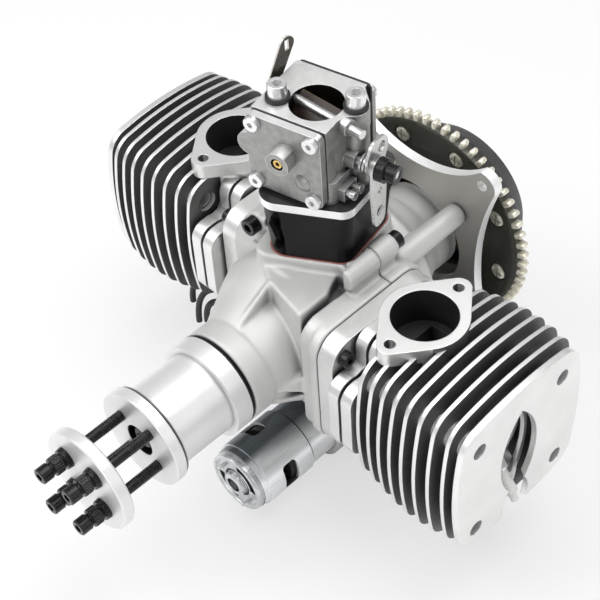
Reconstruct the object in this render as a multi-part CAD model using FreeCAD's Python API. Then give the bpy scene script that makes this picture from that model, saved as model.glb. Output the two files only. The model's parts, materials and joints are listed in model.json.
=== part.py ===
import FreeCAD, Part
import os
from math import acos, asin, atan2, ceil, cos, degrees, hypot, pi, radians, sin, sqrt, tan

# Flat twin two-stroke aircraft engine, in millimetres.
# Working frame: the crankshaft turns about Y, the propeller is towards -Y, +Z is up, the
# cylinders point along +X and -X, and y = 0 is the crankcase joint between them.
# The finished parts are moved so that the origin is the middle of the rear mounting face.

# Crank train
BORE = 52.0
STROKE = 40.0
ROD_LENGTH = 72.0
CYLINDER_STAGGER = 33.0        # distance along the shaft between the two cylinder axes
PISTON_CLEARANCE = 0.05
CROWN_HEIGHT = 20.0            # wrist pin to piston crown
SKIRT_LENGTH = 22.0            # wrist pin to skirt end
PISTON_WALL = 3.2
CROWN_WALL = 5.0
WRIST_PIN_R = 5.5
CRANK_PIN_R = 7.0
BIG_END_R = 12.0
SMALL_END_R = 9.0
ROD_WIDTH = 13.0
ROD_SIDE_GAP = 0.3
WEB_T = 9.0
JOURNAL_R = 12.5
SHAFT_FIT = 0.05               # radial running clearance of shafts
CRANKCASE_CLEARANCE = 1.6      # big end to chamber wall, and webs to cylinder spigots

# Crankcase
CASE_WALL = 11.4
CHAMBER_END_WALL = 3.0
BEARING_R = 23.5
BEARING_WIDTH = 12.0
SEAL_WIDTH = 6.0
NOSE_R = 28.0
NOSE_LENGTH = 13.5
NOSE_FACE_Y = -83.5
SHOULDER_X = 32.5              # inner edge of the blocks that carry the cylinders
CASE_FRONT_Y = -44.0           # front wall of the case beside the nose
SHOULDER_FRONT = 3.0           # how far these blocks stand back from the pad edge
PAD_X = 47.0                   # cylinder mounting faces
PAD_LIP = 1.0                  # how far the mounting face stands proud of the base flange
PAD_CORNER_R = 14.0
DECK_RISE = 3.0                # deck above the mounting faces' top edge
SEAT_RISE = 7.0                # intake seat above the deck
TAIL_R = 27.0
TAIL_TUBE_R = 13.5
MOUNT_BOSS_R = 6.3
MOUNT_BOSS_INSET = 8.0         # from the edge of the mounting faces
MOUNT_BOSS_SPREAD = 1.6
CASE_SCREW_R = 3.0
CASE_SCREW_HEAD_R = 5.0
CASE_SCREW_HEAD_H = 6.0
CASE_SCREW_LENGTH = 30.0
RIGHT_LUG_X = 33.6
LEFT_LUG_X = -31.0
LUG_RISE = 9.0                 # upper lugs above the mounting faces
LOW_SCREW_X = 36.0
LUG_DROP = 6.5                 # lower lugs below them
CASE_LUG_R = 6.8
LUG_FRONT_Y = -22.0
LUG_REAR_Y = 14.5
FOOT_DROP = 5.0                # foot that carries the starter housing, below the mounting faces
FOOT_HALF_WIDTH = 11.0
FOOT_Y0 = 8.0
FOOT_Y1 = 38.0

# Cylinders
BARREL_WALL = 7.0
LINER_SPIGOT_WALL = 3.4
SPIGOT_LENGTH = 8.0
BASE_FLANGE_T = 10.5
BASE_FLANGE_MARGIN = 8.3       # flange beyond the screw centres
GASKET_T = 0.5
HEAD_GAP = 1.0                 # piston crown to the flat of the head at top dead centre
CHAMBER_DEPTH = 11.0
HEAD_WALL = 7.0
HEAD_PLATE_X = 148.5
HEAD_PLATE_T = 3.5
FIN_PITCH = 8.4
FIN_T = 2.3
FIN_COUNT = 8
FIN_HALF = 47.5
FIN_SWELL = 3.8                # how much further the middle fins reach
FIN_RISE = 3.0                 # fins stand higher above the bore axis than they hang below it
FIN_SHIFT = 1.0                # and further towards the rear of the right cylinder
FIN_SIDE_R = 180.0
FIN_CORNER_R = 14.0
BASE_RING_HALF = 47.0
BASE_RING_LOBE = 24.5          # half width of the lobes between the screws
BASE_RING_T = 7.0
BASE_RING_GAP = 2.0
BOLT_Y = 31.7
BOLT_Z = 31.2
COLUMN_R = 7.2
KEY_HOLE_R = 4.6
BASE_SCREW_R = 2.5
BASE_SCREW_HEAD_R = 4.25
BASE_SCREW_HEAD_H = 5.0
WINDOW_HALF_WIDTH = 14.0
WINDOW_HALF_HEIGHT = 33.5

# Exhaust
EXHAUST_FROM_CROWN = 13.0      # port centre beyond the crown at bottom dead centre
EXHAUST_BORE_R = 17.5
EXHAUST_TOP_Z = 56.2
EXHAUST_FLANGE_T = 9.0
EXHAUST_FLANGE_R = 23.0
EXHAUST_EAR_R = 6.9
EXHAUST_BOLT_Y = 25.8
EXHAUST_BOLT_R = 3.0
EXHAUST_DUCT_WALL = 3.6
PORT_WIDTH = 26.0
PORT_HEIGHT = 13.0

# Spark plugs
PLUG_TILT = 52.0               # degrees from the cylinder axis, downwards
PLUG_THREAD_R = 5.0
PLUG_HEX_AF = 16.0
PLUG_HEX_LENGTH = 8.0
PLUG_REACH = 11.0
PLUG_CERAMIC_R = 4.0
PLUG_CERAMIC_LENGTH = 15.0

# Intake
INTAKE_TURN = 30.6             # degrees from X towards Y, insulator and carburettor screws
CARB_TURN = 12.0               # degrees from X towards Y, carburettor body
CARB_X = 1.3
CARB_Y = -2.5
INSULATOR_H = 34.0
INSULATOR_PLATE_T = 5.0
INSULATOR_HALF_DEPTH = 25.5
INSULATOR_HALF_WIDTH = 28.0
INSULATOR_SKEW = 71.4          # degrees between its sides and its front edge
INSULATOR_TAPER = 3.0
INSULATOR_CORNER_R = 8.0
INTAKE_BORE_R = 14.0
REED_CAGE_W = 30.0
REED_CAGE_D = 24.0
REED_CAGE_H = 15.0
REED_T = 0.4

# Carburettor
THROAT_R = 14.1
VENTURI_R = 12.2
CARB_H = 47.3
CARB_BOLT_OFFSET = 19.8
CARB_BOLT_R = 3.0
CARB_BOLT_HEAD_R = 5.0
CARB_BOLT_HEAD_H = 7.5
CARB_WASHER_R = 6.4
CARB_WASHER_T = 2.0
CARB_LEFT = -27.0
CARB_RIGHT = 16.4
CARB_FRONT = -18.0
CARB_BACK = 24.0
CARB_CORNER_R = 3.5
COVER_T = 4.2
COVER_GASKET_T = 1.5
COVER_H = 45.5
COVER_SCREW_U = 17.0
COVER_SCREW_Z = 18.4
COVER_SCREW_R = 2.0
COVER_SCREW_HEAD_R = 4.2
REAR_COVER_DROP = 5.0          # top of the rear cover below the carburettor top
SPOUT_R = 6.6
SPOUT_LENGTH = 8.5
SPOUT_BORE_R = 3.6
NIPPLE_R = 2.5
COVER_SCREW_HEAD_H = 3.0
CHOKE_SHAFT_DROP = 4.6         # below the top face
CHOKE_TURN = 1.5               # degrees from X towards Y
CHOKE_TILT = 45.0              # choke plate at rest, from upright
CHOKE_CUT = 5.6                # flat of the choke plate, from its shaft
THROTTLE_SHAFT_RISE = 19.5     # above the bottom face
CARB_SHAFT_R = 2.5
BUTTERFLY_T = 1.2
BUTTERFLY_GAP = 0.3
LEVER_T = 1.6
SPRING_R = 5.2
SPRING_WIRE = 1.2
SPRING_PITCH = 1.9
SPRING_TURNS = 3

# Propeller hub
WASHER_FACE_Y = -176.7
WASHER_R = 29.7
WASHER_T = 7.0
HUB_FACE_Y = -140.2
HUB_FLANGE_R = 28.8
HUB_FLANGE_T = 6.4
HUB_BARREL_R = 24.0
HUB_RING_FACE_Y = -96.7
HUB_RING_R = 28.0
HUB_GAP = 1.5
HUB_GROOVE_R = 26.4
HUB_RECESS_R = 9.5
PROP_BOLT_PCD = 32.0
PROP_BOLT_R = 3.0
PROP_BOLT_DEPTH = 16.0
PROP_BOLT_TURN = 8.0           # degrees
PROP_BOLT_HOLE_R = 3.2

# Rear: bracket, ring gear, generator
BRACKET_FACE_Y = 69.5
BRACKET_T = 6.0
BRACKET_HOLE_X = 49.2
BRACKET_HOLE_Z = 62.4
BRACKET_HOLE_R = 3.3
BRACKET_LOBE_R = 8.6
BRACKET_WAIST_X = 46.3
BRACKET_WAIST_Z = 52.0
BRACKET_BORE_R = 35.0
BRACKET_SINK = 3.4             # depth of the seats for the screw heads
GEAR_MODULE = 2.2
RING_TEETH = 60
PINION_TEETH = 8
GEAR_FACE_Y = 86.0
GEAR_WIDTH = 6.0
RING_RIM = 4.0
GEAR_PLATE_T = 3.0
DISH_DEPTH = 4.0
GEAR_SCREW_PCD = 104.0
GEAR_SCREW_COUNT = 8
GEAR_SCREW_TURN = 18.0
ROTOR_FRONT_R = 57.0
ROTOR_REAR_R = 41.5
ROTOR_DEPTH = 26.0
ROTOR_BORE_R = 37.0
ROTOR_BACK_T = 4.0
REAR_SHAFT_R = 8.0
STATOR_R = 31.0
STATOR_POLES = 12
COIL_SWELL = 1.6

# Starter motor
STARTER_X = 12.0
STARTER_R = 19.3
FLUX_RING_T = 1.2
STARTER_FRONT_Y = -87.0
FLUX_RING_END_Y = -50.0
STARTER_REAR_Y = -22.0
STARTER_CAP_T = 4.5
STARTER_BOSS_R = 8.0
STARTER_BOSS_L = 7.0
STARTER_SHAFT_R = 3.0
CAN_WALL = 1.6
HOUSING_FRONT_Y = -32.0
HOUSING_WALL = 3.6
HOUSING_NECK_R = 10.0
PINION_SHAFT_R = 3.0

# Generator leads
LEAD_R = 2.0
LEAD_SPACING = 9.0
LEAD_START_X = -38.0
LEAD_START_Y = 42.0
# where each lead ends: x, y, height of its level run, height of its free end
LEAD_ENDS = [(-112.0, -10.0, -56.0, -77.0), (-103.3, -14.0, -56.0, -86.0), (-95.3, -14.0, -62.0, -80.0)]

ORIGIN_X = FreeCAD.Vector(1, 0, 0)
ORIGIN_Y = FreeCAD.Vector(0, 1, 0)
ORIGIN_Z = FreeCAD.Vector(0, 0, 1)

# Values worked out from the ones above
THROW = STROKE / 2
PIN_TDC = THROW + ROD_LENGTH
CHAMBER_R = THROW + BIG_END_R + CRANKCASE_CLEARANCE
WEB_R = THROW + CRANK_PIN_R + 0.8
WEB_GAP = ROD_WIDTH + 2 * ROD_SIDE_GAP
STAGGER = CYLINDER_STAGGER / 2
BASE_FLANGE_HALF = max(BOLT_Y, BOLT_Z) + BASE_FLANGE_MARGIN
PAD_HALF = BASE_FLANGE_HALF + PAD_LIP
DECK_Z = PAD_HALF + DECK_RISE
INTAKE_FACE_Z = DECK_Z + SEAT_RISE
MOUNT_BOSS_OFFSET = PAD_HALF - MOUNT_BOSS_INSET
LUG_Z = PAD_HALF + LUG_RISE
LOW_LUG_Z = -PAD_HALF - LUG_DROP
FOOT_Z = -PAD_HALF - FOOT_DROP
WEB_INNER = STAGGER - WEB_GAP / 2
WEB_OUTER = STAGGER + WEB_GAP / 2
CHAMBER_Y = WEB_OUTER + WEB_T + 1.0
CASE_R = CHAMBER_R + CASE_WALL
BARREL_R = BORE / 2 + BARREL_WALL
SPIGOT_R = BORE / 2 + LINER_SPIGOT_WALL
BASE_X = PAD_X + GASKET_T
HEAD_X = PIN_TDC + CROWN_HEIGHT + HEAD_GAP
DOME_X = HEAD_X + CHAMBER_DEPTH + HEAD_WALL
EXHAUST_X = PIN_TDC - STROKE + CROWN_HEIGHT + EXHAUST_FROM_CROWN
LOW_FIN_X = HEAD_PLATE_X - FIN_COUNT * FIN_PITCH - FIN_T
MOUNT_FACE_Y = BRACKET_FACE_Y + BRACKET_T
RING_PITCH_R = GEAR_MODULE * RING_TEETH / 2
PINION_PITCH_R = GEAR_MODULE * PINION_TEETH / 2
GEAR_CENTRES = RING_PITCH_R + PINION_PITCH_R
STARTER_Z = -sqrt(GEAR_CENTRES ** 2 - STARTER_X ** 2)
INSULATOR_BASE_Z = INTAKE_FACE_Z + GASKET_T
PLATE_BASE_Z = INSULATOR_BASE_Z + INSULATOR_H
CARB_BASE_Z = PLATE_BASE_Z + INSULATOR_PLATE_T + GASKET_T
CARB_TOP_Z = CARB_BASE_Z + CARB_H
REAR_BEARING_Y = BRACKET_FACE_Y - BEARING_WIDTH
TAIL_END_Y = MOUNT_FACE_Y + 1.0
ROTOR_FACE_Y = GEAR_FACE_Y + GEAR_WIDTH
ROTOR_END_Y = ROTOR_FACE_Y + ROTOR_DEPTH


def vec(x, y, z):
    return FreeCAD.Vector(x, y, z)


def cyl_y(radius, y0, y1, x=0.0, z=0.0):
    """Cylinder along Y."""
    return Part.makeCylinder(radius, y1 - y0, vec(x, y0, z), ORIGIN_Y)


def cyl_x(radius, x0, x1, y=0.0, z=0.0):
    """Cylinder along X."""
    return Part.makeCylinder(radius, x1 - x0, vec(x0, y, z), ORIGIN_X)


def cyl_z(radius, z0, z1, x=0.0, y=0.0):
    """Cylinder along Z."""
    return Part.makeCylinder(radius, z1 - z0, vec(x, y, z0), ORIGIN_Z)


def tube_y(outer, inner, y0, y1, x=0.0, z=0.0):
    return cyl_y(outer, y0, y1, x, z).cut(cyl_y(inner, y0 - 1, y1 + 1, x, z))


def block(x0, x1, y0, y1, z0, z1):
    return Part.makeBox(x1 - x0, y1 - y0, z1 - z0, vec(x0, y0, z0))


def join(shapes):
    """One solid out of touching ones."""
    return shapes[0].multiFuse(shapes[1:]).removeSplitter() if len(shapes) > 1 else shapes[0]


def trim(shape, tools):
    """The shape less every tool."""
    return shape.cut(Part.makeCompound(tools)) if tools else shape


def group(shapes):
    return Part.makeCompound(shapes)


def revolve_y(profile, x=0.0, z=0.0):
    """Solid of revolution about a line along Y, from (radius, y) corners."""
    corners = [vec(x + r, y, z) for r, y in profile]
    face = Part.Face(Part.makePolygon(corners + corners[:1]))
    return face.revolve(vec(x, 0, z), ORIGIN_Y, 360)


def revolve_x(profile, y=0.0, z=0.0):
    """Solid of revolution about a line along X, from (radius, x) corners."""
    corners = [vec(x, y + r, z) for r, x in profile]
    face = Part.Face(Part.makePolygon(corners + corners[:1]))
    return face.revolve(vec(0, y, z), ORIGIN_X, 360)


def rounded_path(points, radii):
    """Closed outline through 2D corners, each rounded by its own radius."""
    count = len(points)
    edges = []
    starts = []
    ends = []
    middles = []
    for i, (px, py) in enumerate(points):
        ax, ay = points[i - 1]
        bx, by = points[(i + 1) % count]
        ux, uy = ax - px, ay - py
        wx, wy = bx - px, by - py
        ul, wl = hypot(ux, uy), hypot(wx, wy)
        ux, uy, wx, wy = ux / ul, uy / ul, wx / wl, wy / wl
        half = acos(max(-1.0, min(1.0, ux * wx + uy * wy))) / 2
        reach = radii[i] / tan(half)
        starts.append((px + ux * reach, py + uy * reach))
        ends.append((px + wx * reach, py + wy * reach))
        bis = hypot(ux + wx, uy + wy)
        deep = radii[i] / sin(half) - radii[i]
        middles.append((px + (ux + wx) / bis * deep, py + (uy + wy) / bis * deep))
    for i in range(count):
        edges.append(("arc", starts[i], middles[i], ends[i]))
        edges.append(("line", ends[i], starts[(i + 1) % count]))
    return edges


def outline_face(path, place):
    """Face from a 2D path of lines and arcs, put in space by place(a, b)."""
    edges = []
    for kind, *points in path:
        ends = [place(*p) for p in points]
        if ends[0].distanceToPoint(ends[-1]) < 1e-6:
            continue
        if kind == "line":
            edges.append(Part.LineSegment(ends[0], ends[1]).toShape())
        else:
            edges.append(Part.Arc(ends[0], ends[1], ends[2]).toShape())
    return Part.Face(Part.Wire(edges))


def plate_x(path, x, thickness, y=0.0, z=0.0):
    """Flat plate across X: the path's (a, b) are (y, z) about a centre."""
    return outline_face(path, lambda a, b: vec(x, y + a, z + b)).extrude(vec(thickness, 0, 0))


def plate_y(path, y, thickness, x=0.0, z=0.0):
    """Flat plate across Y: the path's (a, b) are (x, z) about a centre."""
    return outline_face(path, lambda a, b: vec(x + a, y, z + b)).extrude(vec(0, thickness, 0))


def plate_z(path, z, thickness, x=0.0, y=0.0):
    """Flat plate across Z: the path's (a, b) are (x, y) about a centre."""
    return outline_face(path, lambda a, b: vec(x + a, y + b, z)).extrude(vec(0, 0, thickness))


def square_path(half_a, half_b, radius):
    corners = [(-half_a, -half_b), (half_a, -half_b), (half_a, half_b), (-half_a, half_b)]
    return rounded_path(corners, [radius] * 4)


def pillow_path(half, side_r, corner_r):
    """Square with four bulging sides, and corner arcs that meet them tangentially."""
    back = side_r - half
    k = (-back + sqrt(2 * (side_r - corner_r) ** 2 - back ** 2)) / 2
    lean = side_r / (side_r - corner_r)
    joint = (k * lean, -back + (k + back) * lean)
    tip = k + corner_r / sqrt(2)
    path = []
    for turn in range(4):
        c, s = cos(turn * pi / 2), sin(turn * pi / 2)

        def spin(a, b, c=c, s=s):
            return (a * c + b * s, -a * s + b * c)

        path.append(("arc", spin(-joint[0], joint[1]), spin(0, half), spin(*joint)))
        path.append(("arc", spin(*joint), spin(tip, tip), spin(joint[1], joint[0])))
    return path


def polygon_path(count, across_flats, turn=0.0):
    reach = across_flats / 2 / cos(pi / count)
    spots = [(reach * cos(turn + 2 * pi * i / count), reach * sin(turn + 2 * pi * i / count))
             for i in range(count)]
    return [("line", spots[i], spots[(i + 1) % count]) for i in range(count)]


def socket_screw(radius, length, head_r, head_h, socket_af):
    """Socket head screw along Z: the head's underside is at z = 0 and the shank goes down."""
    head = cyl_z(head_r, 0, head_h)
    head = head.makeChamfer(0.4, [e for e in head.Edges if e.BoundBox.ZMin > head_h - 0.01])
    socket = plate_z(polygon_path(6, socket_af), head_h * 0.45, head_h)
    shank = cyl_z(radius, -length, 0.0)
    return join([head.cut(socket), shank])


def put(shape, position, direction, roll=0.0):
    """Copy of a shape made along +Z, turned to a direction and moved to a position."""
    placed = shape.copy()
    turn = FreeCAD.Rotation(ORIGIN_Z, vec(*direction))
    spin = FreeCAD.Rotation(ORIGIN_Z, roll)
    placed.Placement = FreeCAD.Placement(vec(*position), turn.multiply(spin))
    return placed


def turned(shape, angle, x=CARB_X, y=CARB_Y):
    """Copy turned about the vertical line through the carburettor throat."""
    copy = shape.copy()
    copy.rotate(vec(x, y, 0), ORIGIN_Z, angle)
    return copy


def mirrored(shape):
    """The same piece for the other cylinder: half a turn about Z."""
    copy = shape.copy()
    copy.rotate(vec(0, 0, 0), ORIGIN_Z, 180)
    return copy


def save(name, shape):
    moved = shape.copy()
    moved.translate(vec(0, -MOUNT_FACE_Y, 0))
    solids = moved.Solids
    result = solids[0] if len(solids) == 1 else group(solids)
    if not solids or not result.isValid():
        print("check", name, len(solids), result.isValid())
    result.exportStep("parts/" + name + ".step")
    print(name, len(solids), round(result.Volume))


def insulator_path(inset):
    """Four-sided outline with slanted sides, in the frame of the intake screws."""
    depth = INSULATOR_HALF_DEPTH - inset
    side = (INSULATOR_HALF_WIDTH - inset) / sin(radians(INSULATOR_SKEW))
    slant = depth / tan(radians(INSULATOR_SKEW))
    corners = [(-side - slant, -depth), (side - slant, -depth), (side + slant, depth), (-side + slant, depth)]
    return rounded_path(corners, [INSULATOR_CORNER_R] * 4)


def lug_screws():
    """Screws that clamp the two case halves: x, z, y under the head, way the head looks."""
    return [
        (RIGHT_LUG_X, LUG_Z, LUG_REAR_Y, 1),
        (LEFT_LUG_X, LUG_Z, LUG_FRONT_Y, -1),
        (LOW_SCREW_X, LOW_LUG_Z, LUG_REAR_Y, 1),
        (-LOW_SCREW_X, LOW_LUG_Z, LUG_FRONT_Y, -1),
    ]


def polygon_z(points, z0, z1):
    """Upright prism over (x, y) corners."""
    face = Part.Face(Part.makePolygon([vec(a, b, z0) for a, b in points + points[:1]]))
    return face.extrude(vec(0, 0, z1 - z0))


def polygon_y(points, y0, y1):
    """Prism along Y over (x, z) corners."""
    face = Part.Face(Part.makePolygon([vec(a, y0, b) for a, b in points + points[:1]]))
    return face.extrude(vec(0, y1 - y0, 0))


def case_shell():
    """Both halves of the crankcase in one, before the joint is cut."""
    cone_y = NOSE_FACE_Y + NOSE_LENGTH
    pad_front = -STAGGER - PAD_HALF
    block_front = pad_front + SHOULDER_FRONT
    back = CHAMBER_Y + BEARING_WIDTH
    body = revolve_y([
        (0, NOSE_FACE_Y), (NOSE_R - 0.8, NOSE_FACE_Y), (NOSE_R, NOSE_FACE_Y + 0.8), (NOSE_R, cone_y),
        (NOSE_R - 0.7, cone_y + 0.6), (31.2, -62.5), (35.2, -54.5), (40.5, -45.0), (CASE_R, -35.0),
        (CASE_R, CHAMBER_Y + 4), (TAIL_R + 5, back + 3), (TAIL_R, BRACKET_FACE_Y - 9),
        (TAIL_R, TAIL_END_Y), (TAIL_TUBE_R, TAIL_END_Y), (TAIL_TUBE_R, ROTOR_FACE_Y + 21),
        (0, ROTOR_FACE_Y + 21),
    ])
    pocket = polygon_z([(2.2, NOSE_FACE_Y - 5), (60, NOSE_FACE_Y - 5), (60, block_front + 2),
                        (SHOULDER_X, CASE_FRONT_Y - 7.5), (2.2, CASE_FRONT_Y - 0.5)], -14, 70)
    spout = revolve_y([(0, NOSE_FACE_Y), (NOSE_R, NOSE_FACE_Y), (NOSE_R, cone_y),
                       (NOSE_R - 0.7, cone_y + 0.6), (NOSE_R + 2.5, CASE_FRONT_Y), (0, CASE_FRONT_Y)])
    body = body.cut(pocket.cut(spout))
    pieces = [body]
    pad = square_path(PAD_HALF, PAD_HALF, PAD_CORNER_R)
    shoulder = square_path(PAD_HALF - SHOULDER_FRONT / 2, PAD_HALF, PAD_CORNER_R - 2)
    for turn in (0, 180):
        flange = plate_x(pad, PAD_X - 6, 6, -STAGGER)
        mass = plate_x(shoulder, SHOULDER_X, PAD_X - SHOULDER_X, -STAGGER + SHOULDER_FRONT / 2)
        core = block(0, SHOULDER_X, CASE_FRONT_Y, -STAGGER + PAD_HALF, -PAD_HALF + 2, PAD_HALF - 4)
        for shape in (flange, mass, core):
            shape.rotate(vec(0, 0, 0), ORIGIN_Z, turn)
            pieces.append(shape)
    deck = [(-16, CASE_FRONT_Y + 10), (1.8, CASE_FRONT_Y - 0.5), (SHOULDER_X - 2, CASE_FRONT_Y - 7),
            (SHOULDER_X - 3, CASE_FRONT_Y + 20), (SHOULDER_X - 3, 26),
            (-26, 32), (-26, -10)]
    pieces.append(polygon_z(deck, 0, DECK_Z))
    seat = plate_z(insulator_path(INSULATOR_TAPER - 1.5), 0, INTAKE_FACE_Z, CARB_X, CARB_Y)
    pieces.append(turned(seat, INTAKE_TURN))
    rib = Part.Face(Part.makePolygon([vec(-0.6, y, z) for y, z in (
        (cone_y + 1, 0), (CASE_FRONT_Y + 4, 0), (CASE_FRONT_Y + 4, DECK_Z - 1),
        (CASE_FRONT_Y - 0.5, DECK_Z - 1), (cone_y + 1, NOSE_R - 0.4), (cone_y + 1, 0))]))
    pieces.append(rib.extrude(vec(2.8, 0, 0)))
    wedge = [(cone_y + 2, -3.5), (block_front + 2, 1.5), (block_front + 2, -12)]
    face = Part.Face(Part.makePolygon([vec(NOSE_R - 8, y, z) for y, z in wedge + wedge[:1]]))
    gusset = face.extrude(vec(SHOULDER_X - NOSE_R + 8.6, 0, 0))
    slope = [(NOSE_R - 1, cone_y), (SHOULDER_X + 1, block_front), (SHOULDER_X + 12, cone_y)]
    pieces.append(gusset.cut(polygon_z(slope, -20, 10)))
    for x, z, _, _ in lug_screws():
        pieces.append(cyl_y(CASE_LUG_R, LUG_FRONT_Y, LUG_REAR_Y, x, z))
        toward = 1 if z > 0 else -1
        low, high = sorted((z, toward * (PAD_HALF - 8)))
        web = CASE_LUG_R * 0.8
        pieces.append(block(x - web, x + web, LUG_FRONT_Y + 2, LUG_REAR_Y - 2, low, high))
    ear = [(-PAD_X + 1, 30), (-PAD_X + 1, 40.5), (-39, 47), (-36.5, 54), (-24, 56), (-12, 50), (-10, 40)]
    pieces.append(polygon_y(ear, LUG_FRONT_Y + 1, -12))
    foot = block(STARTER_X - FOOT_HALF_WIDTH, STARTER_X + FOOT_HALF_WIDTH, FOOT_Y0, FOOT_Y1, FOOT_Z, 0)
    pieces.append(foot)
    for x in (MOUNT_BOSS_OFFSET, -MOUNT_BOSS_OFFSET):
        for z in (MOUNT_BOSS_OFFSET, -MOUNT_BOSS_OFFSET):
            boss = Part.makeCone(MOUNT_BOSS_R + MOUNT_BOSS_SPREAD, MOUNT_BOSS_R, BRACKET_FACE_Y - 8,
                                 vec(x, 8, z), ORIGIN_Y)
            pieces.append(boss)
    return join(pieces)


def case_cavity():
    """What is hollow in the crankcase: chamber, bearing seats, shaft tunnel, cylinder mouths."""
    hollow = [
        cyl_y(CHAMBER_R, -CHAMBER_Y, CHAMBER_Y),
        cyl_y(BEARING_R, -CHAMBER_Y - BEARING_WIDTH, -CHAMBER_Y),
        cyl_y(BEARING_R, CHAMBER_Y, CHAMBER_Y + BEARING_WIDTH),
        cyl_y(BEARING_R, NOSE_FACE_Y, NOSE_FACE_Y + SEAL_WIDTH + BEARING_WIDTH),
        cyl_y(JOURNAL_R + 3, NOSE_FACE_Y, CHAMBER_Y + BEARING_WIDTH + 8),
        cyl_y(REAR_SHAFT_R + 1.5, CHAMBER_Y, ROTOR_END_Y),
        cyl_x(SPIGOT_R + SHAFT_FIT, 0, PAD_X + 1, -STAGGER),
        cyl_x(SPIGOT_R + SHAFT_FIT, -PAD_X - 1, 0, STAGGER),
        turned(block(CARB_X - REED_CAGE_W / 2 - 0.2, CARB_X + REED_CAGE_W / 2 + 0.2,
                     CARB_Y - REED_CAGE_D / 2 - 0.2, CARB_Y + REED_CAGE_D / 2 + 0.2,
                     0, INTAKE_FACE_Z + 1), INTAKE_TURN),
        turned(plate_z(insulator_path(-GASKET_T), INTAKE_FACE_Z, INSULATOR_H, CARB_X, CARB_Y), INTAKE_TURN),
    ]
    return hollow


def screw_holes():
    """Holes through both halves for the case screws, for the bracket and cylinder screws."""
    holes = []
    for x, z, under_head, way in lug_screws():
        far = under_head - way * CASE_SCREW_LENGTH
        holes.append(cyl_y(CASE_SCREW_R + SHAFT_FIT, min(far, under_head), max(far, under_head) + 0.01, x, z))
    holes.append(polygon_z([(SHOULDER_X - 2, -58), (SHOULDER_X + 0.2, -58), (SHOULDER_X + 1, -16),
                            (24.5, -16), (26.5, -23), (SHOULDER_X - 2.6, -30)], DECK_Z - 9, DECK_Z + 20))
    for x in (MOUNT_BOSS_OFFSET, -MOUNT_BOSS_OFFSET):
        for z in (MOUNT_BOSS_OFFSET, -MOUNT_BOSS_OFFSET):
            holes.append(cyl_y(CASE_SCREW_R + SHAFT_FIT, BRACKET_FACE_Y - 15, BRACKET_FACE_Y + 1, x, z))
    for side in (1, -1):
        for y, z in cylinder_screw_spots():
            x0, x1 = (PAD_X - 14, PAD_X + 1) if side > 0 else (-PAD_X - 1, -PAD_X + 14)
            holes.append(cyl_x(BASE_SCREW_R + SHAFT_FIT, x0, x1, side * (y - STAGGER), z))
    return holes


def cylinder_screw_spots():
    """Places (y, z) of a cylinder's four screws about its axis."""
    return [(BOLT_Y, BOLT_Z), (-BOLT_Y, BOLT_Z), (-BOLT_Y, -BOLT_Z), (BOLT_Y, -BOLT_Z)]


def make_crankcase():
    shell = trim(case_shell(), case_cavity() + screw_holes())
    room = 200.0
    front = shell.common(block(-room, room, -room, 0, -room, room))
    rear = shell.common(block(-room, room, 0, room, -room, room))
    save("crankcase_front", front)
    save("crankcase_rear", rear)
    screw = socket_screw(CASE_SCREW_R, CASE_SCREW_LENGTH - 1, CASE_SCREW_HEAD_R, CASE_SCREW_HEAD_H, 5)
    screws = [put(screw, (x, y, z), (0, way, 0)) for x, z, y, way in lug_screws()]
    save("crankcase_screws", group(screws + bracket_screws()))


def make_bearings():
    ring_sizes = [
        (-CHAMBER_Y - BEARING_WIDTH, -CHAMBER_Y),
        (CHAMBER_Y, CHAMBER_Y + BEARING_WIDTH),
        (NOSE_FACE_Y + SEAL_WIDTH, NOSE_FACE_Y + SEAL_WIDTH + BEARING_WIDTH),
    ]
    bearings = [tube_y(BEARING_R, JOURNAL_R + SHAFT_FIT, a, b) for a, b in ring_sizes]
    save("main_bearings", group(bearings))
    save("front_seal", tube_y(BEARING_R, JOURNAL_R + SHAFT_FIT, NOSE_FACE_Y, NOSE_FACE_Y + SEAL_WIDTH))


def fin_half(index):
    """Half the width of fin number index, counted from the head plate."""
    return FIN_HALF + FIN_SWELL * sin(pi * index / (FIN_COUNT - 0.7))


def window_path():
    """Eye-shaped opening: two arcs that meet in a point at the top and the bottom."""
    w, h = WINDOW_HALF_WIDTH, WINDOW_HALF_HEIGHT
    return [("arc", (0, -h), (w, 0), (0, h)), ("arc", (0, h), (-w, 0), (0, -h))]


def exhaust_flange_path():
    """Round middle with an ear at each end, joined by straight tangents; ears along Y."""
    lean = acos((EXHAUST_FLANGE_R - EXHAUST_EAR_R) / EXHAUST_BOLT_Y)
    c, s = cos(lean), sin(lean)

    def big(sx, sy):
        return (sx * EXHAUST_FLANGE_R * s, sy * EXHAUST_FLANGE_R * c)

    def ear(sx, sy):
        return (sx * EXHAUST_EAR_R * s, sy * (EXHAUST_BOLT_Y + EXHAUST_EAR_R * c))

    return [
        ("arc", big(1, -1), (EXHAUST_FLANGE_R, 0), big(1, 1)),
        ("line", big(1, 1), ear(1, 1)),
        ("arc", ear(1, 1), (0, EXHAUST_BOLT_Y + EXHAUST_EAR_R), ear(-1, 1)),
        ("line", ear(-1, 1), big(-1, 1)),
        ("arc", big(-1, 1), (-EXHAUST_FLANGE_R, 0), big(-1, -1)),
        ("line", big(-1, -1), ear(-1, -1)),
        ("arc", ear(-1, -1), (0, -EXHAUST_BOLT_Y - EXHAUST_EAR_R), ear(1, -1)),
        ("line", ear(1, -1), big(1, -1)),
    ]


def plug_axis():
    """Start point and direction of the spark plug, in the right cylinder."""
    lean = radians(PLUG_TILT)
    direction = (cos(lean), 0.0, -sin(lean))
    seat = (HEAD_X + CHAMBER_DEPTH + 1.0, -STAGGER, -9.0)
    return seat, direction


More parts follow.
